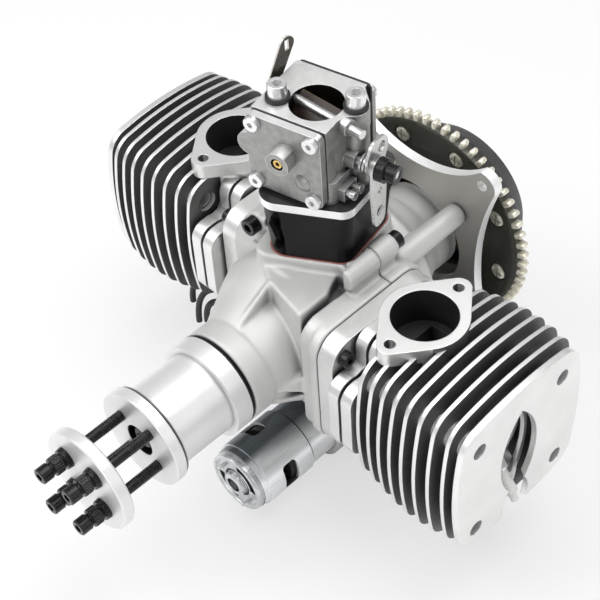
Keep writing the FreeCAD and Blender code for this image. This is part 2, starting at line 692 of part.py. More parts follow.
def make_cylinder():
    """The right cylinder: bore, fins, head plate, exhaust flange and base flange."""
    y = -STAGGER
    solids = [
        cyl_x(BARREL_R, BASE_X, HEAD_X + CHAMBER_DEPTH, y),
        cyl_x(SPIGOT_R, PAD_X - SPIGOT_LENGTH, BASE_X, y),
        plate_x(square_path(BASE_FLANGE_HALF, BASE_FLANGE_HALF, PAD_CORNER_R), BASE_X, BASE_FLANGE_T, y),
    ]
    dome = revolve_x([(0, HEAD_X), (BARREL_R, HEAD_X), (BARREL_R, HEAD_X + CHAMBER_DEPTH),
                      (BARREL_R - 9, DOME_X), (BARREL_R - 18, DOME_X + 4), (0, DOME_X + 6)], y)
    solids.append(dome)
    ring_x = BASE_X + BASE_FLANGE_T + BASE_RING_GAP
    for i in range(2):
        x = ring_x + i * (BASE_RING_T + BASE_RING_GAP)
        across = square_path(BASE_RING_HALF, BASE_RING_LOBE, 9)
        upright = square_path(BASE_RING_LOBE, BASE_RING_HALF - 4, 9)
        solids.append(plate_x(across, x, BASE_RING_T, y + FIN_SHIFT))
        solids.append(plate_x(upright, x, BASE_RING_T, y))
    plate = plate_x(pillow_path(FIN_HALF, FIN_SIDE_R, FIN_CORNER_R), HEAD_PLATE_X - HEAD_PLATE_T,
                    HEAD_PLATE_T, y, FIN_RISE)
    plate = plate.cut(plate_x(window_path(), HEAD_PLATE_X - HEAD_PLATE_T - 1, HEAD_PLATE_T + 2, y))
    solids.append(plate)
    for i in range(1, FIN_COUNT + 1):
        x = HEAD_PLATE_X - i * FIN_PITCH
        outline = pillow_path(fin_half(i), FIN_SIDE_R, FIN_CORNER_R)
        fin = plate_x(outline, x - FIN_T, FIN_T, y + FIN_SHIFT, FIN_RISE)
        if x - FIN_T > HEAD_X + CHAMBER_DEPTH:
            fin = fin.cut(plate_x(window_path(), x - FIN_T - 1, FIN_T + 2, y))
        solids.append(fin)
    for dy, dz in cylinder_screw_spots():
        solids.append(cyl_x(COLUMN_R, LOW_FIN_X, HEAD_PLATE_X - HEAD_PLATE_T, y + dy, dz))
    duct_z = EXHAUST_TOP_Z - EXHAUST_FLANGE_T
    duct = cyl_z(EXHAUST_BORE_R + EXHAUST_DUCT_WALL, 10, duct_z, EXHAUST_X, y)
    flange = plate_z(exhaust_flange_path(), duct_z, EXHAUST_FLANGE_T, EXHAUST_X, y)
    solids.append(duct)
    solids.append(flange)
    seat, direction = plug_axis()
    boss = Part.makeCylinder(PLUG_THREAD_R + 5, 8, vec(*seat), vec(*direction))
    solids.append(boss)
    body = join(solids)

    cuts = [cyl_x(BORE / 2, PAD_X - SPIGOT_LENGTH - 1, HEAD_X, y)]
    chamber = revolve_x([(0, HEAD_X - 0.1), (BORE / 2 - 3, HEAD_X - 0.1), (BORE / 2 - 8, HEAD_X + 7),
                         (0, HEAD_X + CHAMBER_DEPTH)], y)
    cuts.append(chamber)
    for dy, dz in cylinder_screw_spots():
        cuts.append(cyl_x(KEY_HOLE_R, LOW_FIN_X - 1, HEAD_PLATE_X + 1, y + dy, dz))
        cuts.append(cyl_x(KEY_HOLE_R + 1.4, LOW_FIN_X - 1, LOW_FIN_X + FIN_T, y + dy, dz))
        cuts.append(cyl_x(BASE_SCREW_R + 0.2, BASE_X - 1, BASE_X + BASE_FLANGE_T + 1, y + dy, dz))
        cuts.append(cyl_x(BASE_SCREW_HEAD_R + 3.0, BASE_X + BASE_FLANGE_T, LOW_FIN_X, y + dy, dz))
    cuts.append(cyl_z(EXHAUST_BORE_R, BARREL_R + 0.5, EXHAUST_TOP_Z + 1, EXHAUST_X, y))
    cuts.append(block(EXHAUST_X - PORT_HEIGHT / 2, EXHAUST_X + PORT_HEIGHT / 2,
                      y - PORT_WIDTH / 2, y + PORT_WIDTH / 2, 0, BARREL_R + 1))
    for dy in (EXHAUST_BOLT_Y, -EXHAUST_BOLT_Y):
        cuts.append(cyl_z(EXHAUST_BOLT_R, duct_z - 1, EXHAUST_TOP_Z + 1, EXHAUST_X, y + dy))
    cuts.append(block(EXHAUST_X - 30, EXHAUST_X + 40, y - 60, y + 60, EXHAUST_TOP_Z, EXHAUST_TOP_Z + 20))
    cuts.append(Part.makeCylinder(PLUG_THREAD_R + SHAFT_FIT, 40,
                                  vec(seat[0] - 12 * direction[0], y, seat[2] - 12 * direction[2]),
                                  vec(*direction)))
    hex_start = vec(*seat) + vec(*direction) * 8.0
    cuts.append(Part.makeCylinder(PLUG_HEX_AF / 2 / cos(pi / 6) + 1.0, 60, hex_start, vec(*direction)))
    body = trim(body, cuts)
    save("cylinder_right", body)
    save("cylinder_left", mirrored(body))


def make_cylinder_fasteners():
    screw = socket_screw(BASE_SCREW_R, 22, BASE_SCREW_HEAD_R, BASE_SCREW_HEAD_H, 4)
    screws = []
    face = BASE_X + BASE_FLANGE_T
    for y, z in cylinder_screw_spots():
        screws.append(put(screw, (face, y - STAGGER, z), (1, 0, 0)))
    screws += [mirrored(s) for s in screws]
    save("cylinder_screws", group(screws))
    path = square_path(BASE_FLANGE_HALF, BASE_FLANGE_HALF, PAD_CORNER_R)
    gasket = plate_x(path, PAD_X, GASKET_T, -STAGGER)
    gasket = gasket.cut(cyl_x(SPIGOT_R + 0.1, PAD_X - 1, PAD_X + 2, -STAGGER))
    gasket = trim(gasket, [cyl_x(BASE_SCREW_R + 0.2, PAD_X - 1, PAD_X + 2, y - STAGGER, z)
                           for y, z in cylinder_screw_spots()])
    return [gasket, mirrored(gasket)]


def make_spark_plugs():
    seat, direction = plug_axis()
    thread = cyl_z(PLUG_THREAD_R, 8 - PLUG_REACH, 8)
    hexagon = plate_z(polygon_path(6, PLUG_HEX_AF), 8, PLUG_HEX_LENGTH)
    collar = cyl_z(PLUG_HEX_AF / 2 - 1.5, 8 + PLUG_HEX_LENGTH, 8 + PLUG_HEX_LENGTH + 2)
    shell = put(join([thread, hexagon, collar]), seat, direction)
    base = 8 + PLUG_HEX_LENGTH + 2
    ceramic = join([cyl_z(PLUG_CERAMIC_R, base, base + PLUG_CERAMIC_LENGTH),
                    cyl_z(2.2, base + PLUG_CERAMIC_LENGTH, base + PLUG_CERAMIC_LENGTH + 5)])
    ceramic = put(ceramic, seat, direction)
    save("spark_plug_shells", group([shell, mirrored(shell)]))
    save("spark_plug_insulators", group([ceramic, mirrored(ceramic)]))


def piston_unit():
    """Right piston, its rings, its pins and its connecting rod, at top dead centre."""
    y = -STAGGER
    radius = BORE / 2 - PISTON_CLEARANCE
    crown = PIN_TDC + CROWN_HEIGHT
    skirt = PIN_TDC - SKIRT_LENGTH
    piston = cyl_x(radius, skirt, crown, y)
    hollow = cyl_x(radius - PISTON_WALL, skirt - 1, crown - CROWN_WALL, y)
    bosses = [cyl_y(WRIST_PIN_R + 3.5, y - radius + 1, y - ROD_WIDTH / 2 - 0.5, PIN_TDC),
              cyl_y(WRIST_PIN_R + 3.5, y + ROD_WIDTH / 2 + 0.5, y + radius - 1, PIN_TDC)]
    body = join([piston.cut(hollow)] + [b.common(cyl_x(radius - 0.2, skirt, crown, y)) for b in bosses])
    grooves = [cyl_x(radius + 1, x, x + 1.6, y).cut(cyl_x(radius - 2.2, x - 1, x + 3, y))
               for x in (crown - 4.6, crown - 9.2)]
    body = trim(body, grooves + [cyl_y(WRIST_PIN_R, y - 40, y + 40, PIN_TDC)])
    rings = []
    for x in (crown - 4.5, crown - 9.1):
        ring = cyl_x(radius, x, x + 1.4, y).cut(cyl_x(radius - 2.0, x - 1, x + 3, y))
        rings.append(ring.cut(block(x - 1, x + 3, y - 0.4, y + 0.4, 0, 40)))
    wrist = tube_y(WRIST_PIN_R - 0.02, WRIST_PIN_R - 2.5, y - radius + 3, y + radius - 3, PIN_TDC)
    crank_pin = cyl_y(CRANK_PIN_R - 0.02, y - WEB_GAP / 2 + ROD_SIDE_GAP,
                      y + WEB_GAP / 2 - ROD_SIDE_GAP, THROW)
    half = ROD_WIDTH / 2
    shank = block(THROW, PIN_TDC, y - half + 2.5, y + half - 2.5, -5.5, 5.5)
    pocket = 1.6
    flute_x = (THROW + BIG_END_R + 2, PIN_TDC - SMALL_END_R - 2)
    flute = block(*flute_x, y - half, y - half + 2.5 + pocket, -3.2, 3.2)
    flute2 = block(*flute_x, y + half - 2.5 - pocket, y + half, -3.2, 3.2)
    rod = join([shank, cyl_y(BIG_END_R, y - half, y + half, THROW),
                cyl_y(SMALL_END_R, y - half, y + half, PIN_TDC)])
    rod = trim(rod, [cyl_y(CRANK_PIN_R, y - 20, y + 20, THROW),
                     cyl_y(WRIST_PIN_R, y - 20, y + 20, PIN_TDC), flute, flute2])
    return body, group(rings), group([wrist, crank_pin]), rod


def make_pistons():
    names = ("piston", "piston_rings", "piston_pins", "connecting_rod")
    for name, shape in zip(names, piston_unit()):
        save(name + "_right", shape)
        save(name + "_left", mirrored(shape))


def make_crankshaft():
    """Front, middle and rear pieces of the built-up shaft; the pins ride with the rods."""
    hub_bore_y = HUB_RING_FACE_Y - 14
    front = join([
        cyl_y(WEB_R, -WEB_OUTER - WEB_T, -WEB_OUTER),
        cyl_y(JOURNAL_R, NOSE_FACE_Y - HUB_GAP, -WEB_OUTER - WEB_T),
        cyl_y(JOURNAL_R - 2, hub_bore_y, NOSE_FACE_Y - HUB_GAP),
    ])
    middle = cyl_y(WEB_R, -WEB_INNER, WEB_INNER)
    rear = join([
        cyl_y(WEB_R, WEB_OUTER, WEB_OUTER + WEB_T),
        cyl_y(JOURNAL_R, WEB_OUTER + WEB_T, CHAMBER_Y + BEARING_WIDTH + 4),
        cyl_y(REAR_SHAFT_R, CHAMBER_Y + BEARING_WIDTH + 4, ROTOR_END_Y),
    ])
    save("crankshaft", group([front, middle, rear]))


def prop_bolt_spots(radius):
    spots = []
    for i in range(4):
        angle = radians(PROP_BOLT_TURN + 45 + 90 * i)
        spots.append((radius * cos(angle), radius * sin(angle)))
    return spots


def make_hub():
    flange_back = HUB_FACE_Y + HUB_FLANGE_T
    back = NOSE_FACE_Y - HUB_GAP
    profile = [
        (0, HUB_FACE_Y), (HUB_FLANGE_R - 0.6, HUB_FACE_Y), (HUB_FLANGE_R, HUB_FACE_Y + 0.6),
        (HUB_FLANGE_R, flange_back), (HUB_GROOVE_R, flange_back), (HUB_GROOVE_R, flange_back + 0.9),
        (HUB_GROOVE_R + 1.4, flange_back + 0.9), (HUB_GROOVE_R + 1.4, flange_back + 1.9),
        (HUB_BARREL_R, flange_back + 1.9), (HUB_BARREL_R, HUB_RING_FACE_Y),
        (HUB_RING_R, HUB_RING_FACE_Y), (HUB_RING_R, back), (0, back),
    ]
    hub = revolve_y(profile)
    cuts = [
        cyl_y(HUB_RECESS_R, HUB_FACE_Y - 1, HUB_FACE_Y + 9),
        cyl_y(4.3, HUB_FACE_Y, HUB_RING_FACE_Y),
        cyl_y(JOURNAL_R - 2, HUB_RING_FACE_Y - 14.2, back + 1),
    ]
    for x, z in prop_bolt_spots(PROP_BOLT_PCD / 2):
        cuts.append(cyl_y(PROP_BOLT_R + SHAFT_FIT, HUB_FACE_Y - 1, HUB_FACE_Y + PROP_BOLT_DEPTH + 1, x, z))
    save("propeller_hub", trim(hub, cuts))

    washer = revolve_y([(0, WASHER_FACE_Y), (WASHER_R - 0.8, WASHER_FACE_Y), (WASHER_R, WASHER_FACE_Y + 0.8),
                        (WASHER_R, WASHER_FACE_Y + WASHER_T - 0.8),
                        (WASHER_R - 0.8, WASHER_FACE_Y + WASHER_T), (0, WASHER_FACE_Y + WASHER_T)])
    cuts = [cyl_y(PROP_BOLT_HOLE_R, WASHER_FACE_Y - 1, WASHER_FACE_Y + WASHER_T + 1, x, z)
            for x, z in prop_bolt_spots(PROP_BOLT_PCD / 2)]
    cuts.append(cyl_y(4.0, WASHER_FACE_Y - 1, WASHER_FACE_Y + WASHER_T + 1))
    save("propeller_washer", trim(washer, cuts))

    length = HUB_FACE_Y + PROP_BOLT_DEPTH - WASHER_FACE_Y
    stack = [cyl_z(PROP_BOLT_R, -length, 0), cyl_z(5.8, 0, 1.2), cyl_z(5.2, 1.2, 2.8), cyl_z(5.6, 2.8, 4.2),
             plate_z(polygon_path(6, 9.0), 4.2, 6.8), cyl_z(3.0, 11.0, 12.2), cyl_z(3.7, 12.2, 17.6)]
    bolt = join(stack).cut(plate_z(polygon_path(6, 4.0), 14.0, 6.0))
    bolts = [put(bolt, (x, WASHER_FACE_Y, z), (0, -1, 0)) for x, z in prop_bolt_spots(PROP_BOLT_PCD / 2)]
    centre = socket_screw(4.2, HUB_RING_FACE_Y - 14 - HUB_FACE_Y - 9, 6.5, 8, 6)
    bolts.append(put(centre, (0, HUB_FACE_Y + 9, 0), (0, -1, 0)))
    save("propeller_bolts", group(bolts))


def bracket_path():
    """Four lobes with concave sides between them."""
    x, z, r = BRACKET_HOLE_X, BRACKET_HOLE_Z, BRACKET_LOBE_R
    lean_top = radians(62)
    corner = [(x - r * sin(lean_top) * 0.2, z + r), (x + r * 0.7071, z + r * 0.7071), (x + r, z - r * 0.25)]
    path = []
    for sx, sz in ((1, 1), (1, -1), (-1, -1), (-1, 1)):
        a, m, b = [(sx * p, sz * q) for p, q in corner]
        if sx * sz < 0:
            a, b = b, a
        path.append((a, m, b))
    edges = []
    waists = [(BRACKET_WAIST_X, 0), (0, -BRACKET_WAIST_Z), (-BRACKET_WAIST_X, 0), (0, BRACKET_WAIST_Z)]
    for i, (a, m, b) in enumerate(path):
        following = path[(i + 1) % 4][0]
        edges.append(("arc", a, m, b))
        edges.append(("arc", b, waists[i], following))
    return edges


def make_bracket():
    plate = plate_y(bracket_path(), BRACKET_FACE_Y, BRACKET_T)
    cuts = [cyl_y(BRACKET_BORE_R, BRACKET_FACE_Y - 1, MOUNT_FACE_Y + 1)]
    for x in (1, -1):
        for z in (1, -1):
            cuts.append(cyl_y(BRACKET_HOLE_R, BRACKET_FACE_Y - 1, MOUNT_FACE_Y + 1,
                              x * BRACKET_HOLE_X, z * BRACKET_HOLE_Z))
            cuts.append(cyl_y(CASE_SCREW_R + 0.1, BRACKET_FACE_Y - 1, MOUNT_FACE_Y + 1,
                              x * MOUNT_BOSS_OFFSET, z * MOUNT_BOSS_OFFSET))
            cuts.append(cyl_y(CASE_SCREW_HEAD_R + 0.2, MOUNT_FACE_Y - BRACKET_SINK, MOUNT_FACE_Y + 1,
                              x * MOUNT_BOSS_OFFSET, z * MOUNT_BOSS_OFFSET))
    save("rear_bracket", trim(plate, cuts))


def bracket_screws():
    screw = socket_screw(CASE_SCREW_R, 14, CASE_SCREW_HEAD_R, BRACKET_SINK - 0.2, 4)
    spots = [(x * MOUNT_BOSS_OFFSET, z * MOUNT_BOSS_OFFSET) for x in (1, -1) for z in (1, -1)]
    return [put(screw, (x, MOUNT_FACE_Y - BRACKET_SINK, z), (0, 1, 0)) for x, z in spots]


def gear_path(teeth, module, root, tip, thin):
    """Outline of a gear: each tooth has two sloped flanks, a rounded tip and an arc at its root."""
    pitch_r = module * teeth / 2
    step = 2 * pi / teeth
    thick = step / 4 - thin / pitch_r
    root_half = thick + (pitch_r - root) * tan(radians(14)) / pitch_r
    tip_half = thick - (tip - pitch_r) * tan(radians(26)) / pitch_r
    mid_r = tip - 0.45

    def at(radius, angle):
        return (radius * cos(angle), radius * sin(angle))

    path = []
    for i in range(teeth):
        a = i * step
        path.append(("line", at(root, a - root_half), at(pitch_r, a - thick)))
        path.append(("line", at(pitch_r, a - thick), at(mid_r, a - tip_half)))
        path.append(("arc", at(mid_r, a - tip_half), at(tip, a), at(mid_r, a + tip_half)))
        path.append(("line", at(mid_r, a + tip_half), at(pitch_r, a + thick)))
        path.append(("line", at(pitch_r, a + thick), at(root, a + root_half)))
        path.append(("line", at(root, a + root_half), at(root, a + step - root_half)))
    return path


def spin_path(path, angle):
    c, s = cos(angle), sin(angle)
    return [(kind, *[(a * c - b * s, a * s + b * c) for a, b in points]) for kind, *points in path]


def gear_screw_spots():
    spots = []
    for i in range(GEAR_SCREW_COUNT):
        angle = radians(GEAR_SCREW_TURN + i * 360 / GEAR_SCREW_COUNT)
        spots.append((GEAR_SCREW_PCD / 2 * sin(angle), GEAR_SCREW_PCD / 2 * cos(angle)))
    return spots


def make_ring_gear():
    """Ring gear and pinion in mesh: a tooth gap of the ring faces a tooth of the pinion."""
    towards = atan2(STARTER_Z, STARTER_X)
    root = RING_PITCH_R - 1.25 * GEAR_MODULE
    tip = RING_PITCH_R + GEAR_MODULE
    path = spin_path(gear_path(RING_TEETH, GEAR_MODULE, root, tip, 0.08), towards + pi / RING_TEETH)
    ring = plate_y(path, GEAR_FACE_Y, GEAR_WIDTH)
    ring = ring.cut(cyl_y(root - RING_RIM, GEAR_FACE_Y - 1, ROTOR_FACE_Y + 1))
    seat_r = root - RING_RIM
    save("ring_gear", ring)

    plate_y0 = ROTOR_FACE_Y - GEAR_PLATE_T
    plate = revolve_y([(ROTOR_BORE_R, plate_y0 + 0.0), (ROTOR_BORE_R + 6, plate_y0), (seat_r, plate_y0 - 2.6),
                       (seat_r, ROTOR_FACE_Y), (ROTOR_BORE_R, ROTOR_FACE_Y)])
    cuts = [cyl_y(2.1, GEAR_FACE_Y - 3, ROTOR_FACE_Y + 1, x, z) for x, z in gear_screw_spots()]
    cuts += [cyl_y(5.4, GEAR_FACE_Y - 3, plate_y0 - 0.2, x, z) for x, z in gear_screw_spots()]
    save("gear_plate", trim(plate, cuts))

    rotor = revolve_y([
        (ROTOR_BORE_R, ROTOR_FACE_Y), (ROTOR_FRONT_R, ROTOR_FACE_Y), (ROTOR_FRONT_R - 1.0, ROTOR_FACE_Y + 5),
        (ROTOR_FRONT_R - 4.5, ROTOR_FACE_Y + 11), (ROTOR_REAR_R + 4.5, ROTOR_END_Y - 6),
        (ROTOR_REAR_R, ROTOR_END_Y), (REAR_SHAFT_R + SHAFT_FIT, ROTOR_END_Y),
        (REAR_SHAFT_R + SHAFT_FIT, ROTOR_END_Y - ROTOR_BACK_T),
        (ROTOR_BORE_R, ROTOR_END_Y - ROTOR_BACK_T),
    ])
    taps = [cyl_y(2.1, ROTOR_FACE_Y - 1, ROTOR_FACE_Y + 8.5, x, z) for x, z in gear_screw_spots()]
    rotor = trim(rotor, taps)
    save("generator_rotor", rotor)

    head = revolve_y([(0, 0), (5.0, 0), (4.6, -1.6), (3.0, -2.6), (0, -2.8)])
    cross = [block(-3.4, 3.4, -4, -1.6, -0.5, 0.5), block(-0.5, 0.5, -4, -1.6, -3.4, 3.4)]
    pan = join([trim(head, cross), cyl_y(2.0, 0, 10)])
    screws = []
    for x, z in gear_screw_spots():
        screw = pan.copy()
        screw.translate(vec(x, plate_y0 - 0.2, z))
        screws.append(screw)
    nut = plate_y(polygon_path(6, 2.4 * REAR_SHAFT_R), ROTOR_END_Y, 7)
    screws.append(join([nut, cyl_y(REAR_SHAFT_R, ROTOR_END_Y, ROTOR_END_Y + 7)]))
    save("rotor_fasteners", group(screws))

    root_p = PINION_PITCH_R - 1.25 * GEAR_MODULE
    tip_p = PINION_PITCH_R + 0.85 * GEAR_MODULE
    pinion_path = spin_path(gear_path(PINION_TEETH, GEAR_MODULE, root_p, tip_p, 0.22), towards + pi)
    pinion = plate_y(pinion_path, GEAR_FACE_Y - 1, GEAR_WIDTH + 2, STARTER_X, STARTER_Z)
    pinion = pinion.cut(cyl_y(PINION_SHAFT_R + SHAFT_FIT, 0, 200, STARTER_X, STARTER_Z))
    save("starter_pinion", pinion)


def make_stator():
    face = ROTOR_FACE_Y + 3
    end = ROTOR_END_Y - ROTOR_BACK_T - 3
    core = tube_y(STATOR_R - 12, TAIL_TUBE_R, face, end)
    arms = []
    coils = []
    for i in range(STATOR_POLES):
        arm = block(STATOR_R - 13, STATOR_R - 1, face, end, -2.2, 2.2)
        shoe = block(STATOR_R - 2.4, STATOR_R, face, end, -5.6, 5.6)
        coil = block(STATOR_R - 11, STATOR_R - 2.6, face - COIL_SWELL, end + COIL_SWELL,
                     -2.2 - COIL_SWELL * 0.8, 2.2 + COIL_SWELL * 0.8)
        coil = coil.cut(block(STATOR_R - 13, STATOR_R, face, end, -2.2, 2.2))
        angle = i * 360 / STATOR_POLES
        for piece, store in ((arm, arms), (shoe, arms), (coil, coils)):
            piece.rotate(vec(0, 0, 0), ORIGIN_Y, angle)
            store.append(piece)
    save("generator_stator", join([core] + arms))
    save("stator_coils", group(coils))


def make_starter():
    x, z = STARTER_X, STARTER_Z
    front, rear = STARTER_FRONT_Y, STARTER_REAR_Y
    can = tube_y(STARTER_R, STARTER_R - CAN_WALL, front, rear, x, z)
    back = tube_y(STARTER_R - CAN_WALL, STARTER_SHAFT_R + 1.2, rear - 3, rear, x, z)
    can = join([can, back])
    windows = []
    for angle in (6, 124, 242):
        window = block(x + 8, x + STARTER_R + 5, -72, -62, z - 8.5, z + 8.5)
        corners = [e for e in window.Edges if e.BoundBox.XLength > STARTER_R / 2]
        window = window.makeFillet(2.5, corners)
        window.rotate(vec(x, 0, z), ORIGIN_Y, -angle)
        windows.append(window)
    can = trim(can, windows)
    inner = STARTER_R - CAN_WALL
    magnets = []
    for turn in (0, 180):
        shell = tube_y(inner, inner - 3.4, front + 22, rear - 6, x, z)
        wedge = block(x, x + 40, front, rear, z - 40, z + 40)
        wedge.rotate(vec(x, 0, z), ORIGIN_Y, turn)
        shell = shell.common(wedge)
        slot = block(x - 3, x + 3, front, rear, z - 40, z + 40)
        magnets.append(shell.cut(slot))
    save("starter_can", group([can] + magnets))
    flux = tube_y(STARTER_R + FLUX_RING_T, STARTER_R, front + 4, FLUX_RING_END_Y, x, z)
    save("starter_flux_ring", trim(flux, windows))

    cap = cyl_y(STARTER_R - 0.6, front - STARTER_CAP_T, front, x, z)
    boss = cyl_y(STARTER_BOSS_R, front - STARTER_BOSS_L, front - STARTER_CAP_T, x, z)
    cap = join([cap, boss])
    vents = []
    for angle in (45, 225):
        vent = tube_y(14.5, 10.5, front - STARTER_CAP_T - 1, front + 1, x, z)
        wedge = block(x, x + 30, front - 20, front + 5, z - 7, z + 7)
        wedge.rotate(vec(x, 0, z), ORIGIN_Y, angle)
        vents.append(vent.common(wedge))
    vents.append(cyl_y(STARTER_SHAFT_R + SHAFT_FIT, front - 20, front + 5, x, z))
    for angle in (135, 315):
        slot = block(x + 11, x + 15, front - 20, front + 5, z - 1.6, z + 1.6)
        slot.rotate(vec(x, 0, z), ORIGIN_Y, angle)
        vents.append(slot)
    save("starter_end_cap", trim(cap, vents))
    terminals = []
    for angle in (135, 315):
        tab = block(x + 11.6, x + 14.4, front - STARTER_CAP_T - 6, front, z - 1.2, z + 1.2)
        tab.rotate(vec(x, 0, z), ORIGIN_Y, angle)
        terminals.append(tab)
    save("starter_terminals", group(terminals))

    core = cyl_y(inner - 4.4, front + 24, rear - 8, x, z)
    commutator = cyl_y(7.5, front + 8, front + 20, x, z)
    shaft = cyl_y(STARTER_SHAFT_R, front - STARTER_BOSS_L + 0.6, GEAR_FACE_Y + GEAR_WIDTH + 5, x, z)
    slots = []
    for i in range(5):
        slot = block(x + inner - 9, x + inner, front + 20, rear, z - 1.2, z + 1.2)
        slot.rotate(vec(x, 0, z), ORIGIN_Y, i * 72)
        slots.append(slot)
    save("starter_armature", trim(join([core, commutator, shaft]), slots))


def make_starter_housing():
    """Grey casting under the case: socket for the motor and a long neck for the pinion shaft."""
    x, z = STARTER_X, STARTER_Z
    outer = STARTER_R + HOUSING_WALL
    neck_end = GEAR_FACE_Y - 2.5
    body = revolve_y([
        (0, HOUSING_FRONT_Y), (outer, HOUSING_FRONT_Y), (outer, -6), (HOUSING_NECK_R + 4, 16),
        (HOUSING_NECK_R, 30), (HOUSING_NECK_R - 2, neck_end), (0, neck_end),
    ], x, z)
    web = block(x - 5, x + 5, -14, 40, z, FOOT_Z - 6)
    saddle = block(x - FOOT_HALF_WIDTH, x + FOOT_HALF_WIDTH, FOOT_Y0, FOOT_Y1, FOOT_Z - 6, FOOT_Z)
    body = join([body, web, saddle])
    cuts = [
        cyl_y(STARTER_R + SHAFT_FIT, HOUSING_FRONT_Y - 1, STARTER_REAR_Y, x, z),
        cyl_y(STARTER_SHAFT_R + 1.6, STARTER_REAR_Y - 1, neck_end + 1, x, z),
    ]
    return trim(body, cuts)


def make_intake(base_gaskets):
    turn = INTAKE_TURN
    taper = INSULATOR_TAPER

    def wire(inset, z):
        return outline_face(insulator_path(inset), lambda a, b: vec(CARB_X + a, CARB_Y + b, z)).OuterWire

    cage_w, cage_d = REED_CAGE_W / 2, REED_CAGE_D / 2
    base = INTAKE_FACE_Z
    points = [(-cage_d, base), (cage_d, base), (2.0, base - REED_CAGE_H), (-2.0, base - REED_CAGE_H)]
    path = [("line", points[i], points[(i + 1) % 4]) for i in range(4)]
    cage = outline_face(path, lambda a, b: vec(CARB_X - cage_w, CARB_Y + a, b))
    cage = cage.extrude(vec(REED_CAGE_W, 0, 0))
    inner = [(-cage_d + 2.5, base + 1), (cage_d - 2.5, base + 1), (1.0, base - REED_CAGE_H + 2),
             (-1.0, base - REED_CAGE_H + 2)]
    path = [("line", inner[i], inner[(i + 1) % 4]) for i in range(4)]
    hollow = outline_face(path, lambda a, b: vec(CARB_X - cage_w + 2.5, CARB_Y + a, b))
    cage = cage.cut(hollow.extrude(vec(REED_CAGE_W - 5, 0, 0)))
    lean = atan2(cage_d - 2.0, REED_CAGE_H)
    petals = []
    for side in (1, -1):
        for x in (-cage_w + 3.0, 1.0):
            petal = block(x, x + cage_w - 4.0, 0, REED_T, -REED_CAGE_H + 1.5, -1.5)
            petal.rotate(vec(0, 0, 0), ORIGIN_X, -degrees(lean))
            petal.translate(vec(CARB_X, CARB_Y + cage_d, base))
            if side < 0:
                petal.rotate(vec(CARB_X, CARB_Y, 0), ORIGIN_Z, 180)
            petals.append(petal)
    window = block(CARB_X - cage_w + 4.5, CARB_X - 1.5, CARB_Y - 30, CARB_Y + 30, base - 11, base - 4)
    window2 = block(CARB_X + 2.5, CARB_X + cage_w - 4.5, CARB_Y - 30, CARB_Y + 30, base - 11, base - 4)
    cage = trim(cage, [window, window2])
    save("reed_cage", turned(group([cage] + petals), turn))

    gasket = plate_z(insulator_path(taper - 0.6), INTAKE_FACE_Z, GASKET_T, CARB_X, CARB_Y)
    cut = block(CARB_X - cage_w + 2.5, CARB_X + cage_w - 2.5, CARB_Y - cage_d + 2.5, CARB_Y + cage_d - 2.5,
                INTAKE_FACE_Z - 1, INTAKE_FACE_Z + 2)
    save("case_gaskets", group([turned(gasket.cut(cut), turn)] + base_gaskets))

    blank = Part.makeLoft([wire(taper, INSULATOR_BASE_Z), wire(0.8, PLATE_BASE_Z)], True, True)
    bolt_holes = [cyl_z(CARB_BOLT_R + SHAFT_FIT, PLATE_BASE_Z - 16, CARB_TOP_Z,
                        CARB_X + s * CARB_BOLT_OFFSET, CARB_Y) for s in (1, -1)]
    bore = cyl_z(INTAKE_BORE_R, INTAKE_FACE_Z - 1, CARB_TOP_Z, CARB_X, CARB_Y)
    save("insulator_block", turned(trim(blank, bolt_holes + [bore]), turn))
    plate = plate_z(insulator_path(0.0), PLATE_BASE_Z, INSULATOR_PLATE_T, CARB_X, CARB_Y)
    save("insulator_plate", turned(trim(plate, bolt_holes + [bore]), turn))


def choke_line(radius, x0, x1):
    """Cylinder on the choke shaft's line, in the carburettor's own frame."""
    rod = cyl_x(radius, CARB_X + x0, CARB_X + x1, CARB_Y, CARB_TOP_Z - CHOKE_SHAFT_DROP)
    return turned(rod, CHOKE_TURN - CARB_TURN)


